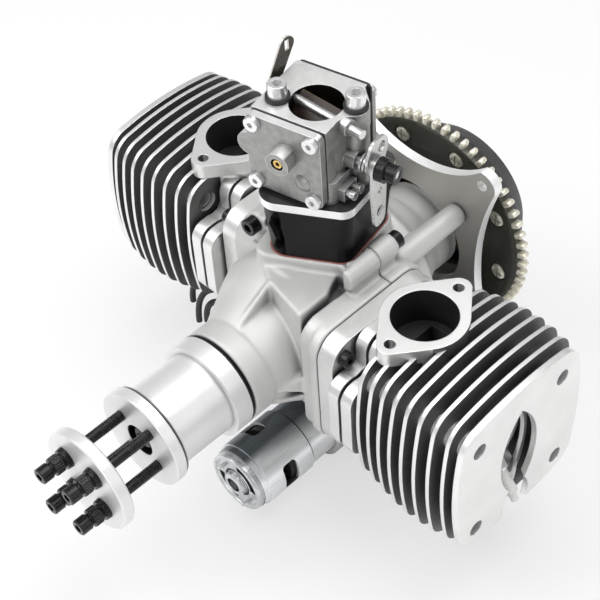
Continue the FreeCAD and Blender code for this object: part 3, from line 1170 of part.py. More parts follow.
def carb_body():
    """Carburettor casting in its own frame, u along X and v along Y about the throat."""
    bolt_angle = radians(INTAKE_TURN - CARB_TURN)
    bolts = [(s * CARB_BOLT_OFFSET * cos(bolt_angle), s * CARB_BOLT_OFFSET * sin(bolt_angle))
             for s in (1, -1)]
    top = rounded_path(
        [(CARB_LEFT, CARB_FRONT), (CARB_RIGHT, CARB_FRONT), (CARB_RIGHT, -4), (CARB_RIGHT + 8, 2),
         (CARB_RIGHT + 8, 11), (CARB_RIGHT - 4, CARB_BACK), (CARB_LEFT, CARB_BACK)],
        [2, 3, 3, 3, 6, 4, 2],
    )
    base, tip = CARB_BASE_Z, CARB_TOP_Z
    upper = plate_z(top, tip - 12, 12, CARB_X, CARB_Y)
    lower = plate_z(square_path(21, 19, 5), base, 14, CARB_X - 2, CARB_Y + 1)
    waist = cyl_z(THROAT_R + 3.6, base, tip, CARB_X, CARB_Y)
    front_pad = block(CARB_X + CARB_LEFT, CARB_X + CARB_RIGHT, CARB_Y + CARB_FRONT, CARB_Y + CARB_FRONT + 7,
                      tip - COVER_H, tip)
    back_pad = block(CARB_X + CARB_LEFT + 3, CARB_X + CARB_RIGHT - 2,
                     CARB_Y + CARB_BACK - 8, CARB_Y + CARB_BACK, tip - COVER_H, tip)
    core = block(CARB_X + CARB_LEFT + 4, CARB_X + 12, CARB_Y + CARB_FRONT + 2, CARB_Y + CARB_BACK - 4,
                 base + 2, tip - 2)
    columns = [cyl_z(CARB_BOLT_HEAD_R + 1.6, base, tip, CARB_X + a, CARB_Y + b) for a, b in bolts]
    needle_block = block(CARB_X + 8, CARB_X + CARB_RIGHT + 6, CARB_Y - 13, CARB_Y - 1, base + 1, base + 8.5)
    shaft_bosses = [
        cyl_x(CARB_SHAFT_R + 2.6, CARB_X - 24, CARB_X + 23, CARB_Y, base + THROTTLE_SHAFT_RISE),
        choke_line(CARB_SHAFT_R + 1.9, -26, 22),
    ]
    body = join([upper, lower, waist, front_pad, back_pad, core, needle_block] + columns + shaft_bosses)
    throat = join([
        cyl_z(THROAT_R, tip - 20, tip + 1, CARB_X, CARB_Y),
        Part.makeCone(VENTURI_R, THROAT_R, 6, vec(CARB_X, CARB_Y, tip - 26), ORIGIN_Z),
        cyl_z(VENTURI_R, base - 1, tip - 26, CARB_X, CARB_Y),
    ])
    cuts = [throat]
    for a, b in bolts:
        cuts.append(cyl_z(CARB_BOLT_R + SHAFT_FIT, base - 1, tip + 1, CARB_X + a, CARB_Y + b))
    cuts.append(cyl_x(CARB_SHAFT_R + SHAFT_FIT, CARB_X - 60, CARB_X + 60, CARB_Y, base + THROTTLE_SHAFT_RISE))
    cuts.append(choke_line(CARB_SHAFT_R + SHAFT_FIT, -60, 60))
    for face, drop in ((CARB_FRONT, 0), (CARB_BACK, REAR_COVER_DROP)):
        for u, z in cover_screw_spots(drop):
            cuts.append(cyl_y(COVER_SCREW_R + 0.1, CARB_Y + face - 5.5, CARB_Y + face + 5.5, CARB_X + u, z))
    for v, z in needle_spots():
        cuts.append(cyl_x(2.0, CARB_X + CARB_RIGHT - 4, CARB_X + CARB_RIGHT + 9, CARB_Y + v, z))
    return trim(body, cuts)


def cover_centre():
    return (CARB_LEFT + CARB_RIGHT) / 2, CARB_TOP_Z - COVER_H / 2


def cover_screw_spots(drop=0.0):
    """Places (u, z) of the four screws of a carburettor cover, the upper two lower by drop."""
    u0, z0 = cover_centre()
    return [(u0 + a * COVER_SCREW_U, z0 + b * COVER_SCREW_Z - drop * (b + 1) / 2)
            for a in (1, -1) for b in (1, -1)]


def needle_spots():
    """Places (v, z) of the two mixture needles."""
    return [(-10.0, CARB_BASE_Z + 5.5), (-4.2, CARB_BASE_Z + 5.5)]


def make_carburettor():
    save("carburettor_body", turned(carb_body(), CARB_TURN))
    u0, z0 = cover_centre()
    half_u = (CARB_RIGHT - CARB_LEFT) / 2
    path = square_path(half_u, COVER_H / 2, CARB_CORNER_R)
    front, back = CARB_Y + CARB_FRONT, CARB_Y + CARB_BACK
    holes = [cyl_y(COVER_SCREW_R + 0.1, front - 30, front + 5, CARB_X + u, z) for u, z in cover_screw_spots()]
    holes += [cyl_y(COVER_SCREW_R + 0.1, back - 5, back + 30, CARB_X + u, z)
              for u, z in cover_screw_spots(REAR_COVER_DROP)]
    gaskets = []
    for y in (front - COVER_GASKET_T, back):
        gaskets.append(trim(plate_y(path, y, COVER_GASKET_T, CARB_X + u0, z0), holes))
    foot = plate_z(square_path(21, 19, 5), CARB_BASE_Z - GASKET_T, GASKET_T, CARB_X - 2, CARB_Y + 1)
    foot = foot.cut(cyl_z(INTAKE_BORE_R, CARB_BASE_Z - 3, CARB_BASE_Z + 3, CARB_X, CARB_Y))
    bolt_angle = radians(INTAKE_TURN - CARB_TURN)
    for s in (1, -1):
        foot = foot.cut(cyl_z(CARB_BOLT_R + 0.1, CARB_BASE_Z - 3, CARB_BASE_Z + 3,
                              CARB_X + s * CARB_BOLT_OFFSET * cos(bolt_angle),
                              CARB_Y + s * CARB_BOLT_OFFSET * sin(bolt_angle)))
    save("carburettor_gaskets", turned(group(gaskets + [foot]), CARB_TURN))

    cover_y = front - COVER_GASKET_T
    cover = plate_y(path, cover_y - COVER_T, COVER_T, CARB_X + u0, z0)
    spout = (CARB_X + u0 + 1.5, z0 + 5)
    spout_y = cover_y - COVER_T - SPOUT_LENGTH
    boss = cyl_y(SPOUT_R, spout_y, cover_y - COVER_T, *spout)
    dome = Part.makeSphere(7.0, vec(CARB_X + u0 + 10.5, cover_y - COVER_T + 4.6, z0 - 9.5))
    dome = dome.common(block(CARB_X - 40, CARB_X + 40, spout_y, cover_y, z0 - 20, z0))
    ear = cyl_y(7.0, cover_y - COVER_T, cover_y, CARB_X + CARB_LEFT + 1, z0 + 3)
    cover = join([cover, boss, ear, dome])
    bores = [cyl_y(NIPPLE_R, spout_y, cover_y - 1, *spout),
             cyl_y(SPOUT_BORE_R, spout_y - 1, spout_y + 4, *spout)]
    save("pump_cover", turned(trim(cover, holes + bores), CARB_TURN))
    back_y = back + COVER_GASKET_T
    cover = plate_y(path, back_y, COVER_T * 0.7, CARB_X + u0, z0)
    cover = cover.cut(block(CARB_X - 60, CARB_X + 60, back_y - 1, back_y + 20,
                            CARB_TOP_Z - REAR_COVER_DROP, CARB_TOP_Z + 9))
    bulge = cyl_y(12, back_y, back_y + COVER_T * 0.7 + 2.2, CARB_X + u0, z0 - 3)
    cover = trim(join([cover, bulge]), holes)
    save("metering_cover", turned(cover, CARB_TURN))

    screw = socket_screw(COVER_SCREW_R, 9, COVER_SCREW_HEAD_R, COVER_SCREW_HEAD_H, 3)
    screws = [put(screw, (CARB_X + u, cover_y - COVER_T, z), (0, -1, 0)) for u, z in cover_screw_spots()]
    screws += [put(screw, (CARB_X + u, back_y + COVER_T * 0.7, z), (0, 1, 0))
               for u, z in cover_screw_spots(REAR_COVER_DROP)]
    save("cover_screws", turned(group(screws), CARB_TURN))

    nipple = tube_y(NIPPLE_R, NIPPLE_R / 2, spout_y + 0.6, cover_y - 1.2, *spout)
    needles = []
    for v, z in needle_spots():
        shank = cyl_x(1.9, CARB_X + CARB_RIGHT - 3, CARB_X + CARB_RIGHT + 8, CARB_Y + v, z)
        head = cyl_x(2.7, CARB_X + CARB_RIGHT + 8, CARB_X + CARB_RIGHT + 11, CARB_Y + v, z)
        slot = block(CARB_X + CARB_RIGHT + 10, CARB_X + CARB_RIGHT + 12, CARB_Y + v - 3, CARB_Y + v + 3,
                     z - 0.4, z + 0.4)
        needles.append(join([shank, head]).cut(slot))
    save("fuel_nipple_and_needles", turned(group([nipple] + needles), CARB_TURN))

    bolts = []
    washers = []
    length = CARB_H + INSULATOR_PLATE_T + 14
    long_screw = socket_screw(CARB_BOLT_R, length, CARB_BOLT_HEAD_R, CARB_BOLT_HEAD_H, 5)
    for s in (1, -1):
        spot = (CARB_X + s * CARB_BOLT_OFFSET, CARB_Y)
        bolts.append(put(long_screw, (*spot, CARB_TOP_Z + CARB_WASHER_T), (0, 0, 1)))
        washer = cyl_z(CARB_WASHER_R, CARB_TOP_Z, CARB_TOP_Z + CARB_WASHER_T, *spot)
        washers.append(washer.cut(cyl_z(CARB_BOLT_R + 0.1, CARB_TOP_Z - 1, CARB_TOP_Z + 5, *spot)))
    save("carburettor_screws", turned(group(bolts), INTAKE_TURN))
    save("carburettor_washers", turned(group(washers), INTAKE_TURN))


def butterfly(z, radius, tilt, flat=None):
    """Round plate on a shaft along X, tilted from upright, with its upper side cut at flat."""
    disc = Part.makeCylinder(radius, BUTTERFLY_T, vec(CARB_X, CARB_Y - BUTTERFLY_T / 2, z), ORIGIN_Y)
    if flat:
        disc = disc.cut(block(CARB_X - 30, CARB_X + 30, CARB_Y - 5, CARB_Y + 5, z + flat, z + 30))
    disc.rotate(vec(CARB_X, CARB_Y, z), ORIGIN_X, tilt)
    return disc


def make_throttle():
    z = CARB_BASE_Z + THROTTLE_SHAFT_RISE
    right = CARB_X + 23.0
    shaft = cyl_x(CARB_SHAFT_R, CARB_X - 26, CARB_X + 45.5, CARB_Y, z)
    disc = butterfly(z, VENTURI_R - BUTTERFLY_GAP, 80)
    shaft = shaft.cut(disc)
    save("throttle_shaft", turned(shaft, CARB_TURN))
    save("throttle_plate", turned(disc, CARB_TURN))

    hanging = rounded_path([(-6, 5), (-7, -14), (-5, -38), (5, -38), (7, -14), (6, 5)], [5, 6, 4.8, 4.8, 6, 5])
    upper = rounded_path([(-5, -5), (-9, 8), (-3, 17), (11, 15), (12, 6), (5, -5)], [4, 6, 6, 6, 6, 4])
    x0 = right + 10.5
    plate = outline_face(hanging, lambda a, b: vec(x0, CARB_Y + a, z + b)).extrude(vec(LEVER_T, 0, 0))
    second = outline_face(upper, lambda a, b: vec(x0 - LEVER_T, CARB_Y + a, z + b)).extrude(vec(LEVER_T, 0, 0))
    holes = [cyl_x(CARB_SHAFT_R, right, right + 20, CARB_Y, z),
             cyl_x(1.9, right, right + 20, CARB_Y + 0.5, z - 15),
             cyl_x(2.9, right, right + 20, CARB_Y, z - 28.5),
             cyl_x(3.2, right, right + 20, CARB_Y + 5.5, z + 9.5)]
    save("throttle_lever", turned(trim(join([plate, second]), holes), CARB_TURN))
    collar = cyl_x(6.5, x0 + LEVER_T, x0 + 6.5, CARB_Y, z)
    knob = cyl_x(4.9, x0 + 6.5, x0 + 12.5, CARB_Y, z)
    collar = join([collar, knob]).cut(cyl_x(CARB_SHAFT_R, right, right + 30, CARB_Y, z))
    save("throttle_collar", turned(collar, CARB_TURN))
    coils = []
    for i in range(SPRING_TURNS):
        x = right + 2.9 + i * SPRING_PITCH
        coils.append(cyl_x(SPRING_R, x, x + SPRING_WIRE, CARB_Y, z))
        coils.append(cyl_x(SPRING_R - SPRING_WIRE, x + SPRING_WIRE, x + SPRING_PITCH, CARB_Y, z))
    spring = join(coils).cut(cyl_x(CARB_SHAFT_R + SHAFT_FIT, right, right + 20, CARB_Y, z))
    save("throttle_spring", turned(spring, CARB_TURN))


def make_choke():
    z = CARB_TOP_Z - CHOKE_SHAFT_DROP
    left = CARB_X + CARB_LEFT - 3.3
    shaft = cyl_x(CARB_SHAFT_R, left - LEVER_T - 1, CARB_X + 30, CARB_Y, z)
    disc = butterfly(z, THROAT_R - BUTTERFLY_GAP, -CHOKE_TILT, CHOKE_CUT)
    shaft = shaft.cut(disc)
    save("choke_shaft", turned(shaft, CHOKE_TURN))
    save("choke_plate", turned(disc, CHOKE_TURN))
    lever = rounded_path([(-5.5, -4), (3, -7), (19, 19), (10.5, 24)], [4.2, 4.2, 4.4, 4.4])
    plate = outline_face(lever, lambda a, b: vec(left - LEVER_T, CARB_Y + a, z + b)).extrude(vec(LEVER_T, 0, 0))
    slot = block(left - 5, left + 5, CARB_Y - 1.4, CARB_Y + 1.4, z - 3, z + 3)
    slot.translate(vec(0, 12.2, 17.5))
    plate = trim(plate, [cyl_x(CARB_SHAFT_R, left - 20, left + 5, CARB_Y, z), slot])
    save("choke_lever", turned(plate, CHOKE_TURN))


def lead_route(index):
    """Corners of one generator lead, from the grommet under the case to its free end."""
    end_x, end_y, run_z, end_z = LEAD_ENDS[index]
    start_y = LEAD_START_Y - LEAD_SPACING * index
    return [(LEAD_START_X, start_y, -PAD_HALF - 0.3), (LEAD_START_X, start_y, run_z),
            (end_x, end_y, run_z), (end_x, end_y, end_z)]


def tube_along(points, radius):
    """Round tube on straight runs joined by tangent arcs, as large as the runs allow."""
    corners = [vec(*p) for p in points]
    edges = []
    start = corners[0]
    for i in range(1, len(corners) - 1):
        before = corners[i - 1] - corners[i]
        after = corners[i + 1] - corners[i]
        reach = 0.45 * min(before.Length, after.Length)
        before.normalize()
        after.normalize()
        half = before.getAngle(after) / 2
        bend = reach * tan(half)
        a = corners[i] + before * reach
        b = corners[i] + after * reach
        middle = before + after
        middle.normalize()
        m = corners[i] + middle * (bend / sin(half) - bend)
        edges.append(Part.LineSegment(start, a).toShape())
        edges.append(Part.Arc(a, m, b).toShape())
        start = b
    edges.append(Part.LineSegment(start, corners[-1]).toShape())
    path = Part.Wire(edges)
    ring = Part.Wire(Part.makeCircle(radius, corners[0], corners[1] - corners[0]))
    return path.makePipeShell([ring], True, False)


def make_leads():
    grommet = block(LEAD_START_X - 5, LEAD_START_X + 5, LEAD_START_Y - 2 * LEAD_SPACING - 5, LEAD_START_Y + 5,
                    -PAD_HALF - 3, -PAD_HALF)
    holes = [cyl_z(LEAD_R + 0.02, -PAD_HALF - 5, -PAD_HALF + 1, LEAD_START_X, LEAD_START_Y - i * LEAD_SPACING)
             for i in range(3)]
    save("lead_grommet", trim(grommet, holes))
    for i in range(3):
        save("generator_lead_" + str(i + 1), tube_along(lead_route(i), LEAD_R))


def main():
    os.makedirs("parts", exist_ok=True)
    make_crankcase()
    make_bearings()
    make_cylinder()
    base_gaskets = make_cylinder_fasteners()
    make_spark_plugs()
    make_pistons()
    make_crankshaft()
    make_hub()
    make_bracket()
    make_ring_gear()
    make_stator()
    make_starter()
    save("starter_housing", make_starter_housing())
    make_intake(base_gaskets)
    make_carburettor()
    make_throttle()
    make_choke()
    make_leads()


main()
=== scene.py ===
import json
import math

import bpy
from mathutils import Matrix, Vector


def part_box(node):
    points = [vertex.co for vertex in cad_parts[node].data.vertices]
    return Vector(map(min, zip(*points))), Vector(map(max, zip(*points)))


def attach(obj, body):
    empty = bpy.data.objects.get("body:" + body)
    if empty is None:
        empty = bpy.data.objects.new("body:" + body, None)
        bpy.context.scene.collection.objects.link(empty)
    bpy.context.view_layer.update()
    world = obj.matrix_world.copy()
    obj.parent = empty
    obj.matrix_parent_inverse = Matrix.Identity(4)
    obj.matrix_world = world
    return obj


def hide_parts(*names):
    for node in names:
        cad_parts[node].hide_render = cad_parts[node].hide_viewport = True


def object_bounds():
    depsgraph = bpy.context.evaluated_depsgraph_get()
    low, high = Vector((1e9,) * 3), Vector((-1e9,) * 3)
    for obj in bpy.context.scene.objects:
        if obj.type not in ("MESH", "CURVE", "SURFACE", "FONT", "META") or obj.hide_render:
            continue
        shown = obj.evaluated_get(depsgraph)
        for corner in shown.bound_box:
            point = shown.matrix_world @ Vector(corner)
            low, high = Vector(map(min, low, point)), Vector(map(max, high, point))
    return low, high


# Looks of a flat twin aircraft engine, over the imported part. Places are in metres in the part's
# own frame: the shaft turns about Y, the propeller side is towards -Y, the cylinders point along
# X and the carburettor is up.

MM = 0.001

SHAFT_REAR = 0.0755            # the crankcase's joint plane, this far in front of the mount face
STAGGER = 0.0165               # each cylinder's axis from that plane
FIRST_FIN_X = 0.0785
WINDOW_X = 0.118               # the head plate's window is open from here outwards
HEAD_FACE_X = 0.1485
EXHAUST_X = 0.085
PORT_RADIUS = 0.01765
PORT_TOP = 0.0560
HUB_FRONT = -0.2157            # flange that the propeller sits on
HUB_BACK = -0.1605
WASHER_FRONT = -252.2          # front face of the washer disc, in mm
STARTER_AXIS = (0.012, -0.073831)      # x, z
STARTER_BORE = 0.0190
STARTER_SEAM = (-0.1255, -0.1243)      # y of the joint between can and flux ring, painted black there as the shade of its step
THROAT = (0.0013, -0.078)      # x, y of the carburettor's bore
THROAT_RADIUS = 0.01425
CARBURETTOR_TOP = 0.1379
RING_FRONT = 0.0105            # front face of the starter ring
LEAD_DIAMETER = 0.004

CAST_VOXEL = 0.0009
CAST_TRIANGLES = 180000
NODE_ANGLE = 28                # degrees past which an edge of a CAD node stays sharp

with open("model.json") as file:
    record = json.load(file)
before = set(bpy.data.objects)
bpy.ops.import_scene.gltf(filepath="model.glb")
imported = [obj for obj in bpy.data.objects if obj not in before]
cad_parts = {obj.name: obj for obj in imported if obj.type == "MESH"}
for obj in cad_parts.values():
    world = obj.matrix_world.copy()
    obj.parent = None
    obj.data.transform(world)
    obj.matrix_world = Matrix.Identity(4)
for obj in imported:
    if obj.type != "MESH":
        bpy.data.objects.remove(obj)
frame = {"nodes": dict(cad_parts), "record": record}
cad_low, cad_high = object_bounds()
bpy.ops.object.select_all(action="DESELECT")


class Socket:
    """A shader output that takes part in Python sums."""

    def __init__(self, finish, output):
        self.finish = finish
        self.output = output

    def sum(self, operation, *others):
        values = {0: self, **dict(enumerate(others, 1))}
        return self.finish.add("ShaderNodeMath", {"operation": operation}, values)

    def __add__(self, other):
        return self.sum("ADD", other)

    __radd__ = __add__

    def __sub__(self, other):
        return self.sum("SUBTRACT", other)

    def __rsub__(self, other):
        return self.finish.add("ShaderNodeMath", {"operation": "SUBTRACT"}, {0: other, 1: self})

    def __mul__(self, other):
        return self.sum("MULTIPLY", other)

    __rmul__ = __mul__

    def __pow__(self, other):
        return self.sum("POWER", other)

    def size(self):
        return self.sum("ABSOLUTE")

    def wave(self):
        return self.sum("SINE")

    def above(self, level):
        return self.sum("GREATER_THAN", level)

    def below(self, level):
        return self.sum("LESS_THAN", level)

    def between(self, low, high):
        return self.above(low) * self.below(high)

    def ramp(self, low, high, start=0.0, end=1.0):
        """Straight rise from start at low to end at high, held flat outside."""
        values = {"Value": self, "From Min": low, "From Max": high, "To Min": start, "To Max": end}
        return self.finish.add("ShaderNodeMapRange", {"clamp": True}, values)

    def swing(self, start=0.0, end=1.0):
        """The middle reach of a noise, spread from start to end."""
        return self.ramp(0.3, 0.7, start, end)


class Finish:
    """One material: its nodes, and the shader that they feed."""

    def __init__(self, name, colour, metallic=0.0, roughness=0.5, **fixed):
        self.material = bpy.data.materials.new(name)
        self.material.use_nodes = True
        self.tree = self.material.node_tree
        self.shader = self.tree.nodes["Principled BSDF"]
        self.place = None
        self.set("Base Color", (*colour, 1.0))
        self.set("Metallic", metallic)
        self.set("Roughness", roughness)
        for key, value in fixed.items():
            self.set(key.replace("_", " "), value)

    def plug(self, target, value):
        if isinstance(value, Socket):
            self.tree.links.new(value.output, target)
        else:
            target.default_value = value

    def set(self, name, value):
        self.plug(self.shader.inputs[name], value)

    def add(self, kind, settings=None, inputs=None, output=0):
        """New node: settings first, then the values or links of its sockets."""
        node = self.tree.nodes.new(kind)
        for key, value in (settings or {}).items():
            setattr(node, key, value)
        for key, value in (inputs or {}).items():
            self.plug(node.inputs[key], value)
        return Socket(self, node.outputs[output])

    def object_place(self):
        if self.place is None:
            self.place = self.add("ShaderNodeTexCoord", output="Object")
        return self.place

    def split(self, vector):
        node = self.add("ShaderNodeSeparateXYZ", inputs={0: vector}).output.node
        return [Socket(self, part) for part in node.outputs]

    def axes(self):
        """X, Y and Z of the place on the part, in metres."""
        return self.split(self.object_place())

    def facing(self):
        """X, Y and Z of the surface's direction."""
        return self.split(self.add("ShaderNodeTexCoord", output="Normal"))

    def noise(self, grain, detail=3.0, stretch=None, rough=0.5):
        """Noise with a grain size in metres, optionally stretched along the axes."""
        place = self.object_place()
        if stretch:
            place = self.add("ShaderNodeMapping", inputs={0: place, "Scale": stretch})
        values = {"Vector": place, "Scale": 1.0 / grain, "Detail": detail, "Roughness": rough}
        return self.add("ShaderNodeTexNoise", inputs=values)

    def mix(self, factor, first, second):
        """Colour between two colours."""
        node = self.tree.nodes.new("ShaderNodeMix")
        node.data_type = "RGBA"
        self.plug(node.inputs[0], factor)
        self.plug(node.inputs[6], first if isinstance(first, Socket) else (*first, 1.0))
        self.plug(node.inputs[7], second if isinstance(second, Socket) else (*second, 1.0))
        return Socket(self, node.outputs[2])

    def rounded(self, radius):
        """Surface direction with sharp edges softened by a radius."""
        return self.add("ShaderNodeBevel", {"samples": 6}, {"Radius": radius})

    def edge_mask(self, radius, strength=6.0):
        """1 along convex and concave edges, 0 on flats."""
        soft = self.rounded(radius)
        sharp = self.add("ShaderNodeNewGeometry", output="Normal")
        settings = {"operation": "DOT_PRODUCT"}
        same_way = self.add("ShaderNodeVectorMath", settings, {0: soft, 1: sharp}, "Value")
        return ((1.0 - same_way) * strength).ramp(0.0, 1.0)

    def painted_hollow_shade(self, distance, low=0.2, high=0.75):
        """Painted shade in hollows: 1 on open surfaces, 0 deep in joints, sockets and holes, where
        the colour is darkened.
        """
        values = {"Distance": distance}
        shade = self.add("ShaderNodeAmbientOcclusion", {"samples": 10}, values, "AO")
        return shade.ramp(low, high)

    def relief(self, height, depth, soft=None, strength=1.0):
        """Bump of a height field, depth in metres, over an optional softened direction."""
        inputs = {"Height": height, "Distance": depth, "Strength": strength}
        if soft is not None:
            inputs["Normal"] = soft
        self.set("Normal", self.add("ShaderNodeBump", None, inputs))


def grey(level):
    return (level, level, level)


def dimmed(colour, share):
    return tuple(part * share for part in colour)


def cast_aluminium():
    """Fine blasted casting: even grey with a slight grain and soft edges, with painted shade
    darkening its corners and joints.
    """
    finish = Finish("cast_aluminium", (0.56, 0.56, 0.55), 0.45, 0.56)
    grain = finish.noise(0.0008, 4.0, rough=0.65)
    cloud = finish.noise(0.03, 2.0)
    metal = finish.mix(cloud.swing(), (0.54, 0.54, 0.53), (0.62, 0.62, 0.61))
    # painted shade: colour darkened towards grey 0.06 in corners and joints
    finish.set("Base Color", finish.mix(finish.painted_hollow_shade(0.012, 0.15, 0.7), grey(0.06), metal))
    finish.set("Roughness", cloud.swing(0.52, 0.60) + grain.swing(-0.04, 0.04))
    finish.relief(grain, 0.0001, finish.rounded(0.0016), 0.5)
    return finish.material


def cylinder_alloy():
    """Bright machined plate, flange and fin edges; painted shade makes the fin sides dark, darker
    towards their roots, fills the exhaust ports with black and darkens hollows.
    """
    finish = Finish("cylinder_alloy", (0.7, 0.7, 0.71), 0.75, 0.4)
    x, y, z = finish.axes()
    across = finish.facing()[0].size().above(0.8)
    outward = x.size()
    from_port = outward - EXHAUST_X
    along = y + SHAFT_REAR + x.sum("SIGN") * STAGGER
    # painted shade: the inside of the exhaust ports is painted near black
    round_port = (from_port * from_port + along * along).below(PORT_RADIUS ** 2)
    port_painted_shade = round_port * z.between(0.0, PORT_TOP)
    window = (along * along * 5.0 + z * z).below(0.0365 ** 2) * outward.above(WINDOW_X)
    finned = outward.between(FIRST_FIN_X, HEAD_FACE_X - 0.0004)
    # painted shade: the fin sides, in the gaps between fins, are given a dark colour
    deep = across * finned * (1.0 - window)
    grain = finish.noise(0.0011, 4.0)
    cloud = finish.noise(0.03, 2.0)
    bright = finish.mix(cloud.swing(), (0.72, 0.72, 0.71), (0.80, 0.80, 0.79))
    # painted shade on the fin sides, darker towards their roots
    reach = (along * along + z * z) ** 0.5
    shade = reach.ramp(0.036, 0.052) * 0.5 + grain.ramp(0.2, 0.8, 0.0, 0.3)
    dark = finish.mix(shade, grey(0.05), (0.24, 0.24, 0.235))
    metal = finish.mix(deep, bright, dark)
    # painted shade in hollows, held off inside the head plate's window
    lit = finish.painted_hollow_shade(0.005, 0.15, 0.6) + window * 0.7
    shaded = finish.mix(lit, grey(0.03), metal)
    finish.set("Base Color", finish.mix(port_painted_shade, shaded, grey(0.008)))
    finish.set("Metallic", 0.75 - port_painted_shade * 0.75)
    finish.set("Roughness", deep.ramp(0, 1, 0.38, 0.6) + grain.swing(-0.04, 0.04) + port_painted_shade * 0.2)
    finish.relief(grain, 0.00006, finish.rounded(0.0007), 0.3)
    return finish.material


def turned_aluminium(name="turned_aluminium", colour=(0.73, 0.73, 0.735), metallic=0.55):
    """Satin anodised metal with fine lathe rings about the shaft; painted shade darkens the groove
    behind the flange, the gap at its rear, its front recess and its hollows.
    """
    finish = Finish(name, colour, metallic, 0.42)
    x, y, z = finish.axes()
    radius = (x * x + z * z) ** 0.5
    rings = finish.noise(0.0005, 2.0, stretch=(0.0, 1.0, 0.0))
    face = (radius * (2 * math.pi / 0.0007)).wave()
    fine = finish.noise(0.004, 2.0)
    # painted shade: dark band in the groove behind the flange, black in the gap at the rear and in
    # the front recess
    flange_groove_shade = radius.below(0.0279) * y.between(HUB_FRONT + 0.0066, HUB_FRONT + 0.0081)
    rear_gap_shade = radius.above(0.015) * y.between(HUB_BACK - 0.0012, HUB_BACK + 0.001)
    recess = radius.below(0.0097) * y.between(HUB_FRONT + 0.0003, HUB_FRONT + 0.03)
    black = (rear_gap_shade + recess).ramp(0.0, 1.0)
    metal = finish.mix(flange_groove_shade, colour, (0.16, 0.15, 0.14))
    # painted shade in hollows
    shaded = finish.mix(finish.painted_hollow_shade(0.008, 0.15, 0.7), grey(0.04), metal)
    finish.set("Base Color", finish.mix(black, shaded, grey(0.01)))
    finish.set("Roughness", rings.swing(0.38, 0.46) + fine.swing(-0.02, 0.02))
    finish.relief(rings + face * 0.08, 0.00001, finish.rounded(0.0005), 0.4)
    return finish.material


def brushed_plate():
    """Grey brushed face with painted light making it paler towards its top, and bright cut edges.
    """
    finish = Finish("brushed_plate", grey(0.3), 0.85, 0.42)
    cut = finish.facing()[1].size().below(0.7)
    # painted light: the face grows paler towards its top
    height = finish.axes()[2].ramp(-0.01, 0.07)
    streaks = finish.noise(0.0006, 3.0, stretch=(1.0, 1.0, 0.04))
    face = finish.mix(height, (0.24, 0.235, 0.22), (0.60, 0.585, 0.55))
    finish.set("Base Color", finish.mix(cut, face, grey(0.9)))
    finish.set("Metallic", 0.8 - cut * 0.3)
    finish.set("Roughness", cut.ramp(0, 1, 0.46, 0.42) + streaks.swing(-0.04, 0.04))
    finish.relief(streaks, 0.00001, finish.rounded(0.0006), 0.3)
    return finish.material


def zinc(name, colour, rough=0.3, grain_size=0.003, metallic=0.92):
    """Plated or ground metal with a faint cloudiness, and painted shade darkening its sockets."""
    finish = Finish(name, colour, metallic, rough)
    cloud = finish.noise(grain_size, 2.0)
    metal = finish.mix(cloud.swing(), dimmed(colour, 0.93), colour)
    # painted shade in sockets and hollows
    shaded = finish.mix(finish.painted_hollow_shade(0.0025, 0.1, 0.5), dimmed(colour, 0.06), metal)
    finish.set("Base Color", shaded)
    finish.set("Roughness", cloud.swing(rough - 0.03, rough + 0.04))
    finish.relief(finish.noise(0.0006, 2.0), 0.00001, finish.rounded(0.0003), 0.2)
    return finish.material


def black_oxide():
    """Blackened steel, a little bare along its edges."""
    finish = Finish("black_oxide", (0.022, 0.022, 0.024), 0.55, 0.34)
    cloud = finish.noise(0.002, 2.0)
    wear = finish.edge_mask(0.0003, 5.0) * cloud.ramp(0.1, 0.6)
    finish.set("Base Color", finish.mix(wear, (0.012, 0.012, 0.013), grey(0.13)))
    finish.set("Roughness", cloud.swing(0.24, 0.36))
    finish.relief(cloud, 0.00001, finish.rounded(0.0003), 0.2)
    return finish.material


def carburettor_casting():
    """Grey die casting with painted light on faces turned upwards and a painted highlight along
    its edges; painted shade makes the throat black and darkens hollows.
    """
    finish = Finish("carburettor_casting", grey(0.34), 0.75, 0.42)
    x, y, z = finish.axes()
    cloud = finish.noise(0.004, 2.0)
    # painted highlight along the edges
    edge = finish.edge_mask(0.0006)
    # painted light: faces turned upwards are pale
    painted_light_on_top = finish.facing()[2].above(0.75)
    sides = finish.mix(cloud.swing(), (0.27, 0.27, 0.265), (0.36, 0.36, 0.35))
    faces = finish.mix(painted_light_on_top, sides, (0.74, 0.74, 0.73))
    metal = finish.mix(edge * 0.8, faces, (0.86, 0.86, 0.85))
    # painted shade: the throat's bore is painted near black
    aside = x - THROAT[0]
    along = y - THROAT[1]
    round_throat = (aside * aside + along * along).below(THROAT_RADIUS ** 2)
    throat = round_throat * z.below(CARBURETTOR_TOP)
    # painted shade in hollows
    shaded = finish.mix(finish.painted_hollow_shade(0.006), grey(0.03), metal)
    finish.set("Base Color", finish.mix(throat, shaded, (0.012, 0.011, 0.010)))
    finish.set("Roughness", cloud.swing(0.38, 0.46))
    finish.relief(finish.noise(0.0006, 2.0), 0.00001, finish.rounded(0.0004), 0.2)
    return finish.material


def dark_satin(name, colour, rough=0.36, gleam=0.5):
    """Dark coating with a soft sheen."""
    finish = Finish(name, colour, 0.0, rough, Specular_IOR_Level=gleam)
    cloud = finish.noise(0.006, 2.0)
    finish.set("Base Color", finish.mix(cloud.swing(), dimmed(colour, 0.8), colour))
    finish.set("Roughness", cloud.swing(rough - 0.04, rough + 0.05))
    finish.relief(finish.noise(0.0007, 3.0), 0.00002, finish.rounded(0.0008), 0.2)
    return finish.material


